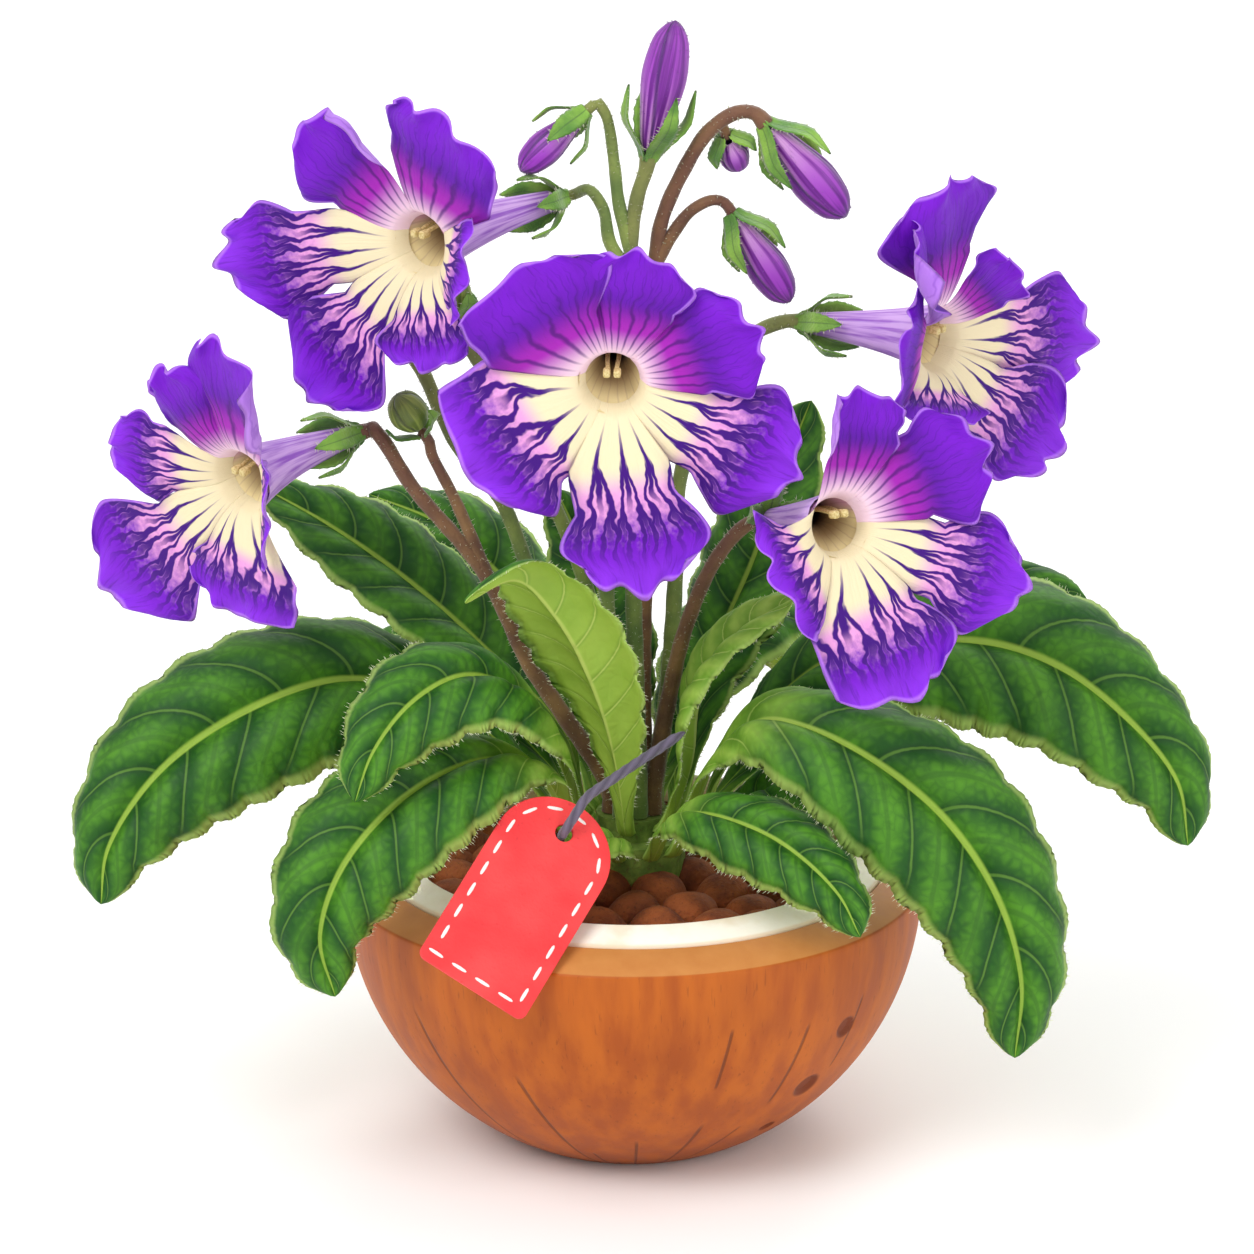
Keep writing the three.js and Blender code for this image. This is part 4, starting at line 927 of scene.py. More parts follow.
# %% The shape of a bloom
class Bloom:
    """The directions and the tube line of a bloom."""

    def __init__(self, name, base, throat, facing, lobes):
        self.name = name
        self.lobes = lobes
        self.facing = Vector(facing).normalized()
        self.up = squared(UP, self.facing)
        self.right = self.up.cross(self.facing)
        self.throat = Vector(throat)
        base = Vector(base)
        bend = self.throat - self.facing * 0.45 * (base - self.throat).length
        steps = [i / 12 for i in range(13)]
        line = [base.lerp(bend, t).lerp(bend.lerp(self.throat, t), t) for t in steps]
        self.tube = Route(line, steps=6)

    def tube_place(self, inside):
        """Places on the tube; inside, the throat narrows fast and its mouth lies high."""
        line = self.tube

        @lru_cache(None)
        def ring(u):
            heading = line.heading(u)
            rise = squared(self.up, heading)
            return line.at(u), rise.cross(heading), rise

        def place(u, s):
            spot, across, rise = ring(u)
            swell = 0.72 * u + 0.28 * u**3
            radius = mix(TUBE_FOOT, THROAT, swell) * min(1, u / 0.02 + 0.25) ** 0.5
            radius *= 1 + 0.04 * math.cos(5 * math.pi * s) * smooth(u * 1.5 - 0.5)
            if inside:
                open_share = smooth((u - 0.58) / 0.42) ** 1.8
                outside = radius - PETAL
                radius = min(outside, mix(THROAT_NARROW, THROAT - PETAL, open_share))
                spot = spot + rise * min(outside - radius, THROAT_RISE * (1 - open_share))
            return on_ring(spot, across, rise, radius, s)

        return place

    def lobe_place(self, index):
        """Places on a lobe; u runs out from the throat, v across it, with an offset in depth."""
        turn_deg, length, width, lean, sides = self.lobes[index]
        turn = math.radians(turn_deg)
        out = self.right * math.cos(turn) + self.up * math.sin(turn)
        across = self.facing.cross(out)
        turns = [(lobe[0] - turn_deg) % 360 for lobe in self.lobes if lobe[0] != turn_deg]
        apart = (360 - max(turns), min(turns))
        ring_sides = [math.radians(angle / 2) * JOIN_OVERLAP for angle in apart]
        sides_out = [
            math.radians(JOIN_LONE if angle > JOIN_APART
                         else min(angle / 2 * JOIN_OVERLAP, JOIN_WIDEST)) for angle in apart]
        curl = CURLS.get((self.name, index))

        def place(u, v):
            # How far out and how wide: joined to its neighbours first, then a round lobe
            foot = THROAT - 0.5
            away = foot + (length - foot) * u * (1 - 0.17 * (v * u) ** 2)
            spread = smooth(u / 0.8) * (1 - 0.42 * max(0, (u - 0.7) / 0.3) ** 2)
            half = max(width / 2 * spread, min(away, JOIN_RADIUS) * math.tan(sides_out[v > 0]))
            half += 0.3 * math.sin(13 * u + 2 * v + turn_deg) * smooth(u * 2 - 0.5)
            # The frill of its front edge
            front = smooth((u - 0.72) / 0.28)
            frill = 0.9 * math.cos(2.5 * math.pi * v) * (1 - 0.6 * v**4) * smooth((u - 0.75) / 0.25)
            frill += 0.3 * math.cos(9 * v + turn_deg) * front
            # How far forward: the flare, the lift of the sides, and waves that grow at the edge
            forward = 5 * (1 - math.exp(-5 * u)) - 0.4 + (lean - 5) * u**1.6
            forward += sides[v > 0] * v * v * smooth(u * 2.2)
            forward += 0.7 * math.sin(2.2 * math.pi * v + turn_deg) * u**2
            forward += -1.6 * v * v * smooth(u * 1.5)
            edge = max(front, smooth((abs(v) - 0.6) / 0.4) * smooth(u * 2 - 0.4))
            forward += 0.7 * math.sin(9 * v + 13 * u + turn_deg) * edge
            forward += 0.25 * math.sin(17 * v - 9 * u + turn_deg * 2) * edge
            wide = half * v
            if curl and v * curl[0] > curl[1]:
                side, start, radius = curl
                beyond = (abs(v) - start) * half
                rolled = beyond * smooth(u * 2.5)
                bend = rolled / radius
                wide = side * (start * half + (beyond - rolled) + radius * math.sin(bend))
                forward += radius * (1 - math.cos(bend))
            # The foot lies on the throat's ring and starts inside the tube
            free = smooth(u / 0.3)
            lip = smooth(u / 0.08)
            ring = ring_sides[v > 0] * v
            radius = mix(LIP_RADIUS, THROAT - 0.8, lip)
            outer = out * mix(radius * math.cos(ring), away + frill, free)
            spot = self.throat + outer + across * mix(radius * math.sin(ring), wide, free)
            rise = mix(forward * u / 0.3, forward, free) - LIP_DEPTH * (1 - lip)
            return spot + self.facing * rise

        @lru_cache(None)
        def face(u, v):
            du = place(min(1, u + 0.01), v) - place(max(0, u - 0.01), v)
            dv = place(u, min(1, v + 0.01)) - place(u, max(-1, v - 0.01))
            return du.cross(dv).normalized()

        def side_place(u, v, offset):
            thin = (1 - abs(v) ** 12) * (1 - u**16)
            return place(u, v) + face(u, v) * offset * thin

        return side_place


# %% The petals' finish
def upper_lobe(p, u, fan, limb):
    """A whitish pink foot, a magenta zone with dark streaks, then the violet limb."""
    foot = p.blend(paint(240, 208, 226), paint(158, 30, 170), u.ramp(0.08, 0.27))
    front = p.blend(foot, limb, u.ramp(0.24, 0.54))
    streak = (fan * 3.4).wave().ramp(0.55, 0.95) * u.ramp(0.05, 0.2) * u.ramp(0.72, 0.36)
    return p.blend(front, paint(62, 4, 104), streak * 0.75)


def lower_lobe(p, u, fan, limb, fine):
    """A cream foot and pink cells, between dark lines that part twice as they run outwards."""
    off = (fan * 1.9).wave()
    first = (u.ramp(0.18, 0.5) * 0.64 - off).away()
    second = (first - u.ramp(0.42, 0.68) * 0.34).away()
    thick = u.ramp(0.06, 0.34) * 0.12 + 0.11
    stem = (off / thick).ramp(1.1, 0.6) * u.ramp(0.08, 0.24) * u.ramp(0.56, 0.4)
    branch = (first / 0.2).ramp(1, 0.5) * u.ramp(0.2, 0.3) * u.ramp(0.78, 0.55)
    twig = (second / 0.15).ramp(1, 0.5) * u.ramp(0.42, 0.5) * u.ramp(0.9, 0.62)
    dark = stem.most(branch).most(twig)
    cells = p.blend(paint(230, 216, 178), paint(222, 152, 208), u.ramp(0.26, 0.44))
    speck = (fine - 0.5) * u.ramp(0.35, 0.5) * u.ramp(0.8, 0.62) * 1.2
    ground = p.blend(cells, limb, u.ramp(0.42, 0.72) + speck)
    return p.blend(ground, paint(60, 4, 118), dark)


def petal_finish():
    p = Palette("violet_petal")
    u, v = p.surface()
    wobble = p.noise(5, detail=2) - 0.5
    fine = p.noise(1.3, detail=3)
    cloud = p.noise(8, detail=2)
    streak = p.streaks(3, 14)
    fan = v + wobble * 0.34 * u.ramp(0.05, 0.5)
    light = cloud * 0.5 + streak * 0.4 + u.ramp(0.4, 1.1) * 0.4
    limb = p.blend(paint(80, 2, 146), paint(122, 18, 204), light)
    limb = p.blend(limb, paint(140, 52, 224), u.ramp(0.72, 0.96) * p.attribute("lower") * 0.6)
    limb = p.blend(limb, paint(62, 2, 118), u.ramp(0.75, 0.35) * 0.5)
    vein = (fan * 7).wave().ramp(0.25, 0.02) * u.ramp(1, 0.6)
    limb = p.blend(limb, paint(58, 2, 118), vein.most(streak.ramp(0.56, 0.7)) * 0.4)
    upper = upper_lobe(p, u, fan, limb)
    lower = lower_lobe(p, u, fan, limb, fine)
    front = p.blend(upper, lower, p.attribute("lower"))
    shade = v.away().ramp(0.7, 0.93) * u.ramp(0.2, 0.35)
    front = p.blend(front, paint(48, 6, 112), shade * 0.3)
    # Painted highlight: a thin pale line along each lobe's front edge and, further out, along its
    # sides
    rim = u.ramp(0.955, 0.985).most(v.away().ramp(0.935, 0.975) * u.ramp(0.35, 0.5))
    front = p.blend(front, paint(182, 118, 240), rim * 0.85)
    # Backs and the tube's outside are pale lilac with long lines
    lines = (fan * 5).wave().ramp(0.7, 1)
    pale = p.blend(paint(200, 152, 226), paint(156, 98, 210), u.ramp(0.1, 1) * 0.6 + streak * 0.4)
    pale = p.blend(pale, paint(118, 60, 178), lines * 0.4)
    tube_streak = p.streaks(2, 5, rolled=True)
    tube = p.blend(paint(210, 172, 228), paint(152, 96, 194), tube_streak.ramp(0.38, 0.68))
    tube = p.blend(tube, paint(126, 72, 166), u.ramp(0.22, 0.0) * 0.5)
    # The throat is cream below and pink above; further in, painted shade turns it brown and then
    # nearly black
    throat_line = (v * 9 + wobble * 0.5).wave().ramp(0.26, 0.05)
    top_side = (v - 0.5).away().ramp(0.5, 0.25)
    inner = p.blend(paint(232, 214, 160), paint(216, 160, 196), top_side)
    inner = p.blend(inner, paint(120, 58, 104), throat_line * 0.2)
    inner = p.blend(inner, paint(120, 84, 50), u.ramp(0.94, 0.76) * 0.8)
    inner = p.blend(inner, paint(52, 22, 30), u.ramp(0.78, 0.6))
    colour = p.by_part(front, pale, tube, inner)
    relief = streak + fine * 0.3
    return p.finish(colour, 0.6, relief, 0.2, sheen=0.03, subsurface=0.05, shine=0.2)


# %% The anthers
# The threads' points: the share of the tube, and how far above and beside its line
THREAD_MARKS = ((0.62, 3.1, 1.2), (0.85, 3.4, 1.2), (1, 2.4, 0.8))
THREAD_RADIUS = 0.5
THREAD_ROWS = 12
ANTHER_SIZE = (1.6, 1.8, 2.8)


def anther_finish():
    p = Palette("cream_anther")
    grit = p.noise(0.5, detail=3)
    colour = p.blend(paint(186, 162, 98), paint(214, 196, 138), grit.ramp(0.35, 0.6))
    return p.finish(colour, 0.6, grit, 0.1)


ANTHER_FINISH = anther_finish()


def grow_anthers(name, bloom):
    """Two threads on the upper wall of the tube, each with a rounded block at its end."""
    bm = bmesh.new()
    for side in (-1, 1):
        line = Route([bloom.tube.at(u) + bloom.up * high + bloom.right * wide * side
                      for u, high, wide in THREAD_MARKS])
        rings = line.frames(THREAD_ROWS)

        def thread_place(u, s):
            spot, _, across, rise = rings[round(u * THREAD_ROWS)]
            return on_ring(spot, across, rise, THREAD_RADIUS, s)

        skin(bm, THREAD_ROWS, 8, thread_place, flip=True)
        turn = bloom.facing.to_track_quat("Z", "Y").to_matrix().to_4x4()
        at = Matrix.Translation((line.at(1) + bloom.right * side * 0.35) * MM)
        size = Matrix.Diagonal((*[length * MM for length in ANTHER_SIZE], 1))
        made = bmesh.ops.create_cube(bm, size=1, matrix=at @ turn @ size)["verts"]
        soften(bm, list({edge for vert in made for edge in vert.link_edges}), 0.5, 2)
    finish_piece(name + "_anthers", bm, ANTHER_FINISH, "anther", f"stamens_{name}")


# %% Grow the blooms
FRONT, BACK, TUBE, INSIDE = range(4)
# Rows and columns of the grids
TUBE_GRID, LOBE_GRID = (26, 30), (30, 34)
PETAL_FINISH = petal_finish()
blooms = {name: Bloom(name, *table) for name, table in BLOOMS.items()}
for name, bloom in blooms.items():
    bm = bmesh.new()
    skin(bm, *TUBE_GRID, bloom.tube_place(False), TUBE)
    skin(bm, *TUBE_GRID, bloom.tube_place(True), INSIDE, flip=True)
    for index, lobe in enumerate(bloom.lobes):
        lower = math.sin(math.radians(lobe[0])) < 0.3
        place = bloom.lobe_place(index)
        for part, offset in ((FRONT, PETAL / 2), (BACK, -PETAL / 2)):
            skin(bm, *LOBE_GRID, lambda u, v: place(u, v, offset), part, lower, part == BACK)
    close(bm)
    finish_piece(name + "_corolla", bm, PETAL_FINISH, "petal", f"corolla_{name}")
    grow_anthers(name, bloom)
print("blooms", len(blooms), "lobes", sum(len(bloom.lobes) for bloom in blooms.values()))

# %% [markdown]
# ## Buds
# A bud is a closed corolla: a spindle with a blunt nose, whose lobes are folded over each other
# in seams that wind round it. A grid is rolled into the spindle and drawn in along the seams.

# %% The buds
# The base, the way it points, its length and its widest radius
BUDS = {
    "nodding_left": ((-11.5, -0.5, 239), (-0.73, -0.1, -0.66), 18, 4),
    "upright": ((3.6, 0, 230.5), (0.19, 0, 0.98), 30, 5.2),
    "nodding_right": ((30, 3.8, 235), (0.66, -0.1, -0.74), 26, 5.4),
    "nodding_inner": ((22.8, 3.9, 214.2), (0.55, -0.1, -0.83), 22, 4.7),
    "small_top": ((21, 7, 231.5), (0.35, 0.3, -0.88), 8, 3.6),
    "small_left": ((-47.6, -9.2, 169.6), (-0.5, -0.2, 0.84), 9.5, 4.5),
    "hidden_green": ((-49.8, 3, 187.5), (-0.1, 0.2, 0.97), 8, 3.4),
    "hidden_olive": ((-39, 4, 193.2), (-0.1, 0.2, 0.97), 8, 3.4),
}
# A bud longer than this is a long one
LONG_BUD = 12
# Shares of the length and of the radius, in tenths
LONG_OUTLINE = [(0, 3), (0.8, 5), (2.8, 7.4), (5.8, 10), (8.2, 8.4), (9.5, 4.4), (10, 0.5)]
ROUND_OUTLINE = [(0, 4), (1, 6.6), (4.2, 10), (7.8, 8.2), (9.5, 4), (10, 0.5)]
# How far round the seams wind, and the hairs for each millimetre of length times radius
FOLD_TURNS = 0.35
BUD_HAIRS = 1.6


def bud_finish(name, dark, light, foot, seam_paint):
    p = Palette(name)
    u, s = p.surface()
    seam = (s * 1.5 + u * FOLD_TURNS).wave().ramp(0.16, 0.02)
    streak = p.streaks(1.2, 4, rolled=True)
    base = p.blend(dark, light, streak.ramp(0.38, 0.62))
    base = p.blend(base, foot, u.ramp(0.55, 0.05) * streak.ramp(0.44, 0.6))
    base = p.blend(base, seam_paint, u.ramp(0.7, 1) * 0.5)
    colour = p.blend(base, seam_paint, seam * 0.8)
    return p.finish(colour, 0.5, streak - seam, 0.2, sheen=0.2, subsurface=0.08)


VIOLET_BUD = bud_finish("violet_bud", paint(104, 16, 132), paint(156, 56, 184),
                        paint(210, 156, 214), paint(58, 5, 92))
GREEN_BUD = bud_finish("green_bud", paint(92, 112, 34), paint(134, 150, 56),
                       paint(150, 168, 76), paint(56, 70, 24))
GREEN_BUDS = ("small_left", "hidden_green", "hidden_olive")
fuzz = random.Random(5)
for name, (base, facing, length, radius) in BUDS.items():
    base, facing = Vector(base), Vector(facing).normalized()
    rise = squared(RIGHT, facing)
    across = rise.cross(facing)
    outline = LONG_OUTLINE if length > LONG_BUD else ROUND_OUTLINE
    profile = Route([(*mark, 0) for mark in outline])

    def bud_place(u, s):
        mark = profile.at(u)
        seam = abs(math.sin(math.pi * (1.5 * s + FOLD_TURNS * u))) ** 0.35
        wide = max(0, mark.y / 10) * radius * mix(1, mix(0.86, 1, seam), smooth(u * 3))
        return on_ring(base + facing * (0.3 + mark.x / 10 * length), across, rise, wide, s)

    bm = bmesh.new()
    skin(bm, 40, 42, bud_place)
    close(bm)
    spots = []
    for _ in range(round(length * radius * BUD_HAIRS)):
        root = bud_place(round(fuzz.uniform(0.05, 0.97), 6), round(fuzz.uniform(-1, 1), 6))
        way = squared(root - base, facing) + facing * 0.4
        spots.append((root, way.normalized(), fuzz.uniform(0.5, 0.9)))
    add_hairs(bm, spots, 0, 0.06)
    finish = GREEN_BUD if name in GREEN_BUDS else VIOLET_BUD
    finish_piece(name + "_bud", bm, finish, "bud", f"bud_{name}")
print("buds", len(BUDS))

# %% [markdown]
# ## Flower stalks
# Hairy round stalks rise from the crown and part near the top. Some are olive green, some brown
# with purple. Three to five narrow sepals with toothed, hairy edges sit at the foot of each bloom
# and bud. A stalk is a rolled grid with its hairs set on it; a sepal is a small folded leaf.

# %% The stalks
# Where it stands on the crown, in degrees, its colour, and its branches with what they carry;
# the first branch is the stalk itself
STALKS = {
    "stalk_left": (195, "brown", [
        ("left", [(-16.5, -5, 101.8), (-23.5, -6, 113.2), (-33.5, -8, 135.4),
            (-49.6, -10, 156.6), (-55.3, -9.5, 166.2), (-58, -8.4, 169.4)]),
        ("small_left", [(-32.5, -8, 134), (-39.8, -9, 152.8), (-45.1, -9, 164)]),
    ]),
    "stalk_left_green": (150, "green", [
        ("hidden_green", [(-9, 3, 92.9), (-16.6, 4, 113.9), (-23.8, 4, 132.9), (-30, 3, 149.5),
            (-39.6, 3, 162.1), (-47.1, 3, 179.1)]),
    ]),
    "stalk_left_olive": (105, "green", [
        ("hidden_olive", [(-4, 6, 92.9), (-7.5, 7, 106.7), (-11.5, 7, 130.5), (-23.2, 6, 158.3),
            (-33.2, 4, 178.8)]),
    ]),
    "stalk_middle": (285, "green", [
        ("upright", [(0.8, -3, 102.6), (-0.4, -2, 150.1), (-0.6, 0, 200), (-0.3, 0, 212),
            (1.1, 0, 221)]),
        ("upper_left", [(-1, 0, 203), (-5.2, 0, 210), (-6.6, 0, 217.5), (-9.6, 0, 221.9)]),
        ("nodding_left", [(-0.6, 0, 208), (-3.2, 0, 219), (-4.2, 0, 228), (-6, 0, 238.9),
            (-8.4, 0, 242.4)]),
    ]),
    "stalk_right": (60, "brown", [
        ("nodding_right", [(2.2, 6, 101.5), (3, 6, 148.8), (4.8, 4, 203), (6.4, 4, 214),
            (10.8, 4, 224.6), (17, 4, 234.6), (23.2, 4, 238.6)]),
        ("nodding_inner", [(5, 4, 204), (9.2, 4, 211.4), (13, 4, 216.2), (17.8, 4, 218.6)]),
        ("small_top", [(16, 4, 233.4), (18.2, 5.4, 235)]),
    ]),
    "stalk_front": (240, "green", [
        ("centre", [(-4, -8, 102), (-5.6, -7.8, 120), (-6.1, -6.6, 150), (-5.8, -3.6, 180),
            (-4.8, -2.4, 193)]),
    ]),
    "stalk_right_lower": (330, "brown", [
        ("right_lower", [(8.6, -1.5, 106), (12.2, -3.4, 121.9), (18.4, -5.4, 137.4),
            (25, -5.6, 145.6)]),
    ]),
    "stalk_right_upper": (15, "green", [
        ("upper_right", [(8, 4.6, 104), (9.6, 6, 130), (10.4, 6, 152), (17, 9, 172.8),
            (26.1, 9.3, 185.5)]),
    ]),
}
STALK_RING = 5.3
CROWN_TOP = 76.3
SCAPE = 1.9
SIDE_STALK = 1.45
# Hairs on a millimetre of stalk and of sepal
STALK_HAIRS = 3.2
SEPAL_HAIRS = 2.4


def stalk_finish(name, dark, light, blush):
    p = Palette(name)
    u, s = p.surface()
    cloud = p.noise(9, detail=3)
    fine = p.noise(0.7, detail=3)
    stem = p.blend(dark, light, cloud.ramp(0.3, 0.7))
    stem = p.blend(stem, blush, u.ramp(0.35, 1) * 0.5)
    sepal = p.blend(paint(74, 128, 36), paint(136, 182, 62), cloud.ramp(0.3, 0.7))
    sepal = p.blend(sepal, paint(60, 96, 40), s.away().ramp(0.12, 0.02) * 0.6)
    colour = p.by_part(stem, sepal, paint(222, 226, 186))
    return p.finish(colour, 0.65, fine, 0.25, sheen=0.3)


STALK_FINISHES = {
    "green": stalk_finish("green_stalk", paint(92, 120, 48), paint(138, 158, 70),
                          paint(126, 118, 62)),
    "brown": stalk_finish("brown_stalk", paint(96, 62, 36), paint(140, 104, 58),
                          paint(108, 64, 48)),
}


# %% The sepals
STEM, SEPAL = 0, 1
SEPAL_GRID = (16, 6)
SEPAL_HALF = 2.3


def calyx_seat(name):
    """The start, the way it points, and the sepals' length, number and flare."""
    if name in blooms:
        bloom = blooms[name]
        forward = bloom.tube.heading(0)
        return bloom.tube.at(0) - forward * 1.1, forward, 11.5, 5, 5.6
    base, facing, length, radius = BUDS[name]
    forward = Vector(facing).normalized()
    return Vector(base), forward, length / 2, 4 if length > LONG_BUD else 3, radius + 1.2


def add_sepal(bm, start, forward, out, length, flare):
    """Adds a sepal's two skins, and gives the spots of its hairs."""
    across = forward.cross(out)

    def place(u, s, side):
        wide = SEPAL_HALF * math.sin(math.pi * min(1, 0.12 + u * 0.88) ** 0.8) ** 0.8
        wide *= 1 + 0.12 * abs(math.sin(8 * math.pi * u)) * abs(s)
        along = mix(-1.8, length, u)
        away = mix(1.2, flare + length * 0.1, smooth(u * 1.6) * 0.85 + 0.15 * u)
        fold = s * s * 0.5
        off = side * 0.3 * (1 - s**8) * (1 - u**8)
        return start + forward * along + across * wide * s + out * (away + fold + off)

    skin(bm, *SEPAL_GRID, lambda u, s: place(u, s, 1), SEPAL, flip=True)
    skin(bm, *SEPAL_GRID, lambda u, s: place(u, s, -1), SEPAL)
    spots = []
    for _ in range(round(length * SEPAL_HAIRS)):
        u, s = fuzz.uniform(0.1, 1), fuzz.choice((-1, 1))
        way = across * s + out * fuzz.uniform(-0.4, 0.8) + forward * 0.3
        spots.append((place(u, s, 1), way.normalized(), fuzz.uniform(0.7, 1.3)))
    return spots


# %% Grow the stalks
for name, (start, colour, branches) in STALKS.items():
    turn = math.radians(start)
    foot = Vector((STALK_RING * math.cos(turn), STALK_RING * math.sin(turn), CROWN_TOP))
    bm = bmesh.new()
    spots = []
    sepal_spots = []
    for number, (carries, points) in enumerate(branches):
        seat, forward, size, count, flare = calyx_seat(carries)
        route = [*points, seat - forward * 4.4, seat]
        if number == 0:
            route = [foot, foot + UP * 5, *route]
        line = Route(route, steps=12)
        rows = round(line.length / 1.1)
        rings = line.frames(rows)
        thick = SCAPE if number == 0 else SIDE_STALK

        def stem_place(u, s):
            spot, _, across, rise = rings[round(u * rows)]
            swell = mix(1.08, 0.86, smooth(u * 1.3)) + 0.25 * smooth((u - 0.97) / 0.03)
            wide = thick * swell * (0.06 if u >= 1 else 1)
            wide *= 1 + 0.03 * math.sin(u * line.length * 0.8)
            return on_ring(spot, across, rise, wide, s)

        skin(bm, rows, 14, stem_place, STEM, flip=True)
        for _ in range(round(line.length * STALK_HAIRS)):
            spot, heading, across, rise = rings[fuzz.randrange(rows)]
            angle = fuzz.uniform(0, TAU)
            way = across * math.cos(angle) + rise * math.sin(angle)
            root = spot + way * thick * 0.85
            lean = heading * fuzz.uniform(-0.3, 0.5)
            spots.append((root, (way + lean).normalized(), fuzz.uniform(0.7, 1.4)))
        rise = squared(RIGHT if abs(forward.z) > 0.9 else UP, forward)
        across = rise.cross(forward)
        for i in range(count):
            angle = TAU * (i + 0.25) / count
            out = across * math.cos(angle) + rise * math.sin(angle)
            sepal_spots += add_sepal(bm, seat, forward, out, size, flare)
    close(bm)
    add_hairs(bm, spots + sepal_spots, HAIR, 0.085)
    finish_piece(name, bm, STALK_FINISHES[colour], "stem", name)
print("stalks", len(STALKS))

# %% [markdown]
# ## The tag
# The tag is a stiff red card with a round top, a hole for the cord and two square lower corners
# that are barely rounded. A row of white stitches runs round it. The outline and the hole are two
# rings of points bridged into a face, given its thickness and softened at the edges.

# %% The tag
TAG_LENGTH = 51.3
TAG_HALF = 13.7
TAG_THICK = 1.0
TAG_CORNER = 2.0
TAG_HOLE = 2.0
HOLE_DOWN = 7.6
TAG_SEAT = Vector((-36, -72, 60))
tag_along = Vector((24, 34, 30)).normalized()
tag_across = squared(Vector((23, -3.6, -14.3)), tag_along)
tag_front = tag_across.cross(tag_along)
tag_basis = Matrix((tag_across, tag_along, tag_front)).transposed().to_4x4()
tag_basis = Matrix.Translation(TAG_SEAT * MM) @ tag_basis


def circle_point(x, y, radius, degrees):
    turn = math.radians(degrees)
    return Vector((x + radius * math.cos(turn), y + radius * math.sin(turn), 0))


def tag_outline(inset, steps):
    """Points round the tag, at a distance inside its edge: a corner, the round top, a corner."""
    half, corner = TAG_HALF - inset, max(0.3, TAG_CORNER - inset)
    few = steps // 6
    arcs = [(half - corner, inset + corner, corner, -90, 0, few),
            (0, TAG_LENGTH - TAG_HALF, half, 0, 180, steps - 2 * few),
            (corner - half, inset + corner, corner, 180, 270, few)]
    return [circle_point(x, y, radius, mix(start, end, i / (count - 1)))
            for x, y, radius, start, end, count in arcs for i in range(count)]


def tag_finish():
    p = Palette("red_tag")
    grain = p.noise(0.9, detail=4)
    cloud = p.noise(14, detail=2)
    colour = p.blend(paint(226, 44, 48), paint(248, 66, 66), cloud.ramp(0.3, 0.7))
    colour = p.blend(colour, paint(188, 28, 36), grain.ramp(0.6, 0.75) * 0.4)
    return p.finish(colour, 0.6, grain, 0.12)


def thread_finish():
    p = Palette("white_thread")
    twist = p.noise(0.4, detail=2)
    colour = p.blend(paint(232, 224, 220), paint(255, 250, 246), twist)
    return p.finish(colour, 0.7, twist, 0.1)


# %% The card
TAG_STEPS = 48
bm = bmesh.new()
hole = [circle_point(0, TAG_LENGTH - HOLE_DOWN, TAG_HOLE, 360 * (i + 13) / TAG_STEPS - 90)
        for i in range(TAG_STEPS)]
rings = []
for marks in (tag_outline(0, TAG_STEPS), hole):
    ring = bmesh.ops.create_circle(bm, segments=TAG_STEPS, radius=1)["verts"]
    for vert, mark in zip(ring, marks):
        vert.co = mark * MM
    rings.append(list({edge for vert in ring for edge in vert.link_edges}))
bmesh.ops.bridge_loops(bm, edges=rings[0] + rings[1])
bmesh.ops.recalc_face_normals(bm, faces=bm.faces)
made = bmesh.ops.extrude_face_region(bm, geom=list(bm.faces))
for vert in [g for g in made["geom"] if isinstance(g, bmesh.types.BMVert)]:
    vert.co.z += TAG_THICK * MM
bmesh.ops.recalc_face_normals(bm, faces=bm.faces)
soften(bm, [edge for edge in bm.edges if edge.calc_face_angle(0) > 1], 0.22, 2)
bm.transform(tag_basis)
tag = finish_piece("red_tag", bm, tag_finish(), "tag", "hang_tag", smooth_faces=False)

# %% The stitches
STITCH_INSET = 2.7
STITCH_SPACING = 6.1
bm = bmesh.new()
thread = tag_outline(STITCH_INSET, 60)
thread = Route([*thread, thread[0]], steps=4)
stitches = round(thread.length / STITCH_SPACING)
for i in range(stitches):
    share = (i + 0.5) / stitches
    way = thread.heading(share)
    turn = Matrix.Rotation(math.atan2(way.y, way.x), 4, "Z")
    for high in (TAG_THICK, 0):
        at = Matrix.Translation((thread.at(share) + UP * high) * MM)
        made = bmesh.ops.create_uvsphere(bm, u_segments=10, v_segments=6, radius=1)["verts"]
        for vert in made:
            way = vert.co.copy()
            vert.co = Vector((math.copysign(abs(way.x) ** 0.6, way.x) * 1.9, way.y * 0.42,
                              way.z * 0.26)) * MM
        bmesh.ops.transform(bm, matrix=at @ turn, verts=made)
bm.transform(tag_basis)
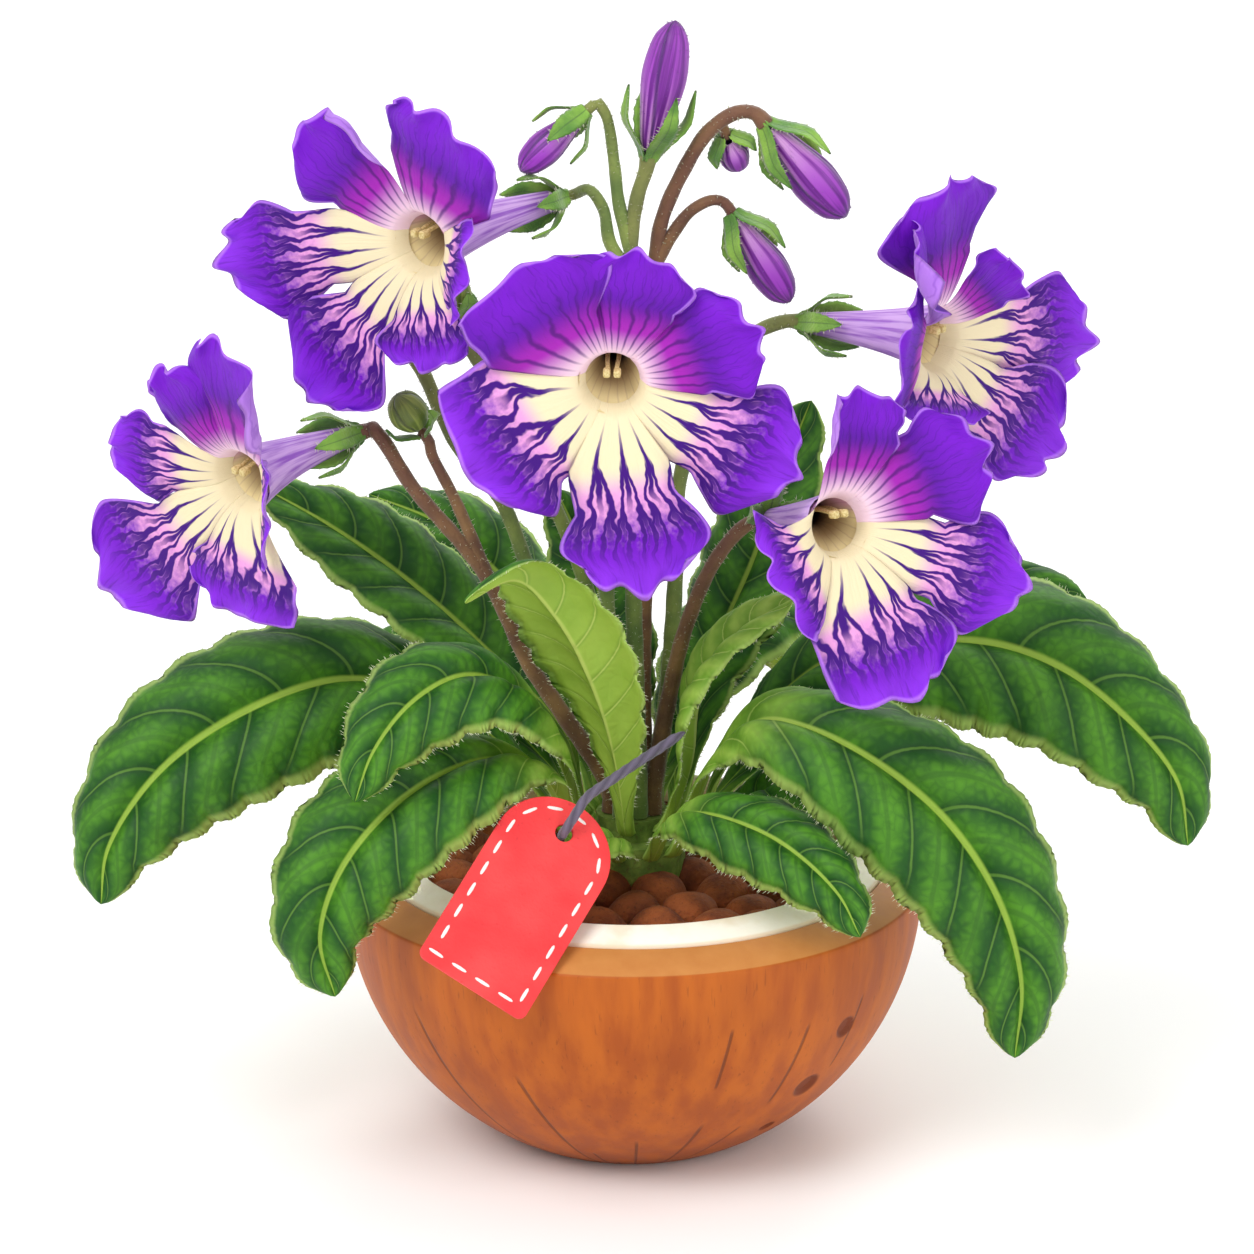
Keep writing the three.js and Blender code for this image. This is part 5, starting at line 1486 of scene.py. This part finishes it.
stitching = finish_piece("tag_stitches", bm, thread_finish(), "tag")
[spot * MM for spot, _, _, _ in cord_frames]
print("stitches", stitches)

# %% [markdown]
# ## The crown
# The crown is the short stem that all leaves and stalks come from. It is hidden by them, so the
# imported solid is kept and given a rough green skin.

# %% The crown's finish
def crown_finish():
    p = Palette("crown_skin")
    cloud = p.noise(4, detail=3)
    fine = p.noise(0.8, detail=3)
    colour = p.blend(paint(92, 122, 44), paint(134, 160, 66), cloud.ramp(0.3, 0.7))
    colour = p.blend(colour, paint(96, 64, 40), fine.ramp(0.55, 0.75) * 0.5)
    return p.finish(colour, 0.7, fine, 0.3)


crown = bpy.data.objects["crown"]
crown.data.materials.clear()
crown.data.materials.append(crown_finish())

# %% [markdown]
# ## Floor and light
# The plant stands on a plain white floor that runs off behind it, under a large soft lamp from
# the upper left and a paler one from the right, so that its shadow is faint.

# %% Floor and light
WHITE = (1, 1, 1, 1)
FLOOR_HALF = 6
ROOM_LIGHT = 0.75
bm = bmesh.new()
bmesh.ops.create_grid(bm, x_segments=1, y_segments=1, size=FLOOR_HALF)
floor = new_object("floor", bm, Palette("floor_paint").finish(WHITE, 0.9))

# Name, place in metres, width and power
LAMPS = [
    ("key", (-0.7, -0.9, 1.3), 0.9, 15), ("fill", (1.1, -1.0, 0.7), 1.0, 6),
    ("rim", (0.3, 1.2, 1.1), 0.9, 9),
]
for name, spot, size, power in LAMPS:
    lamp = bpy.data.objects.new(name, bpy.data.lights.new(name, "AREA"))
    bpy.context.scene.collection.objects.link(lamp)
    lamp.data.size = size
    lamp.data.energy = power
    lamp.location = spot
    lamp.rotation_euler = (LOOKS_AT * MM - Vector(spot)).to_track_quat("-Z", "Y").to_euler()

world = bpy.data.worlds.new("pale_room")
world.use_nodes = True
world.node_tree.nodes["Background"].inputs["Color"].default_value = WHITE
world.node_tree.nodes["Background"].inputs["Strength"].default_value = ROOM_LIGHT
bpy.context.scene.world = world
bpy.context.scene.view_settings.view_transform = "Standard"
print("lamps", len(LAMPS))
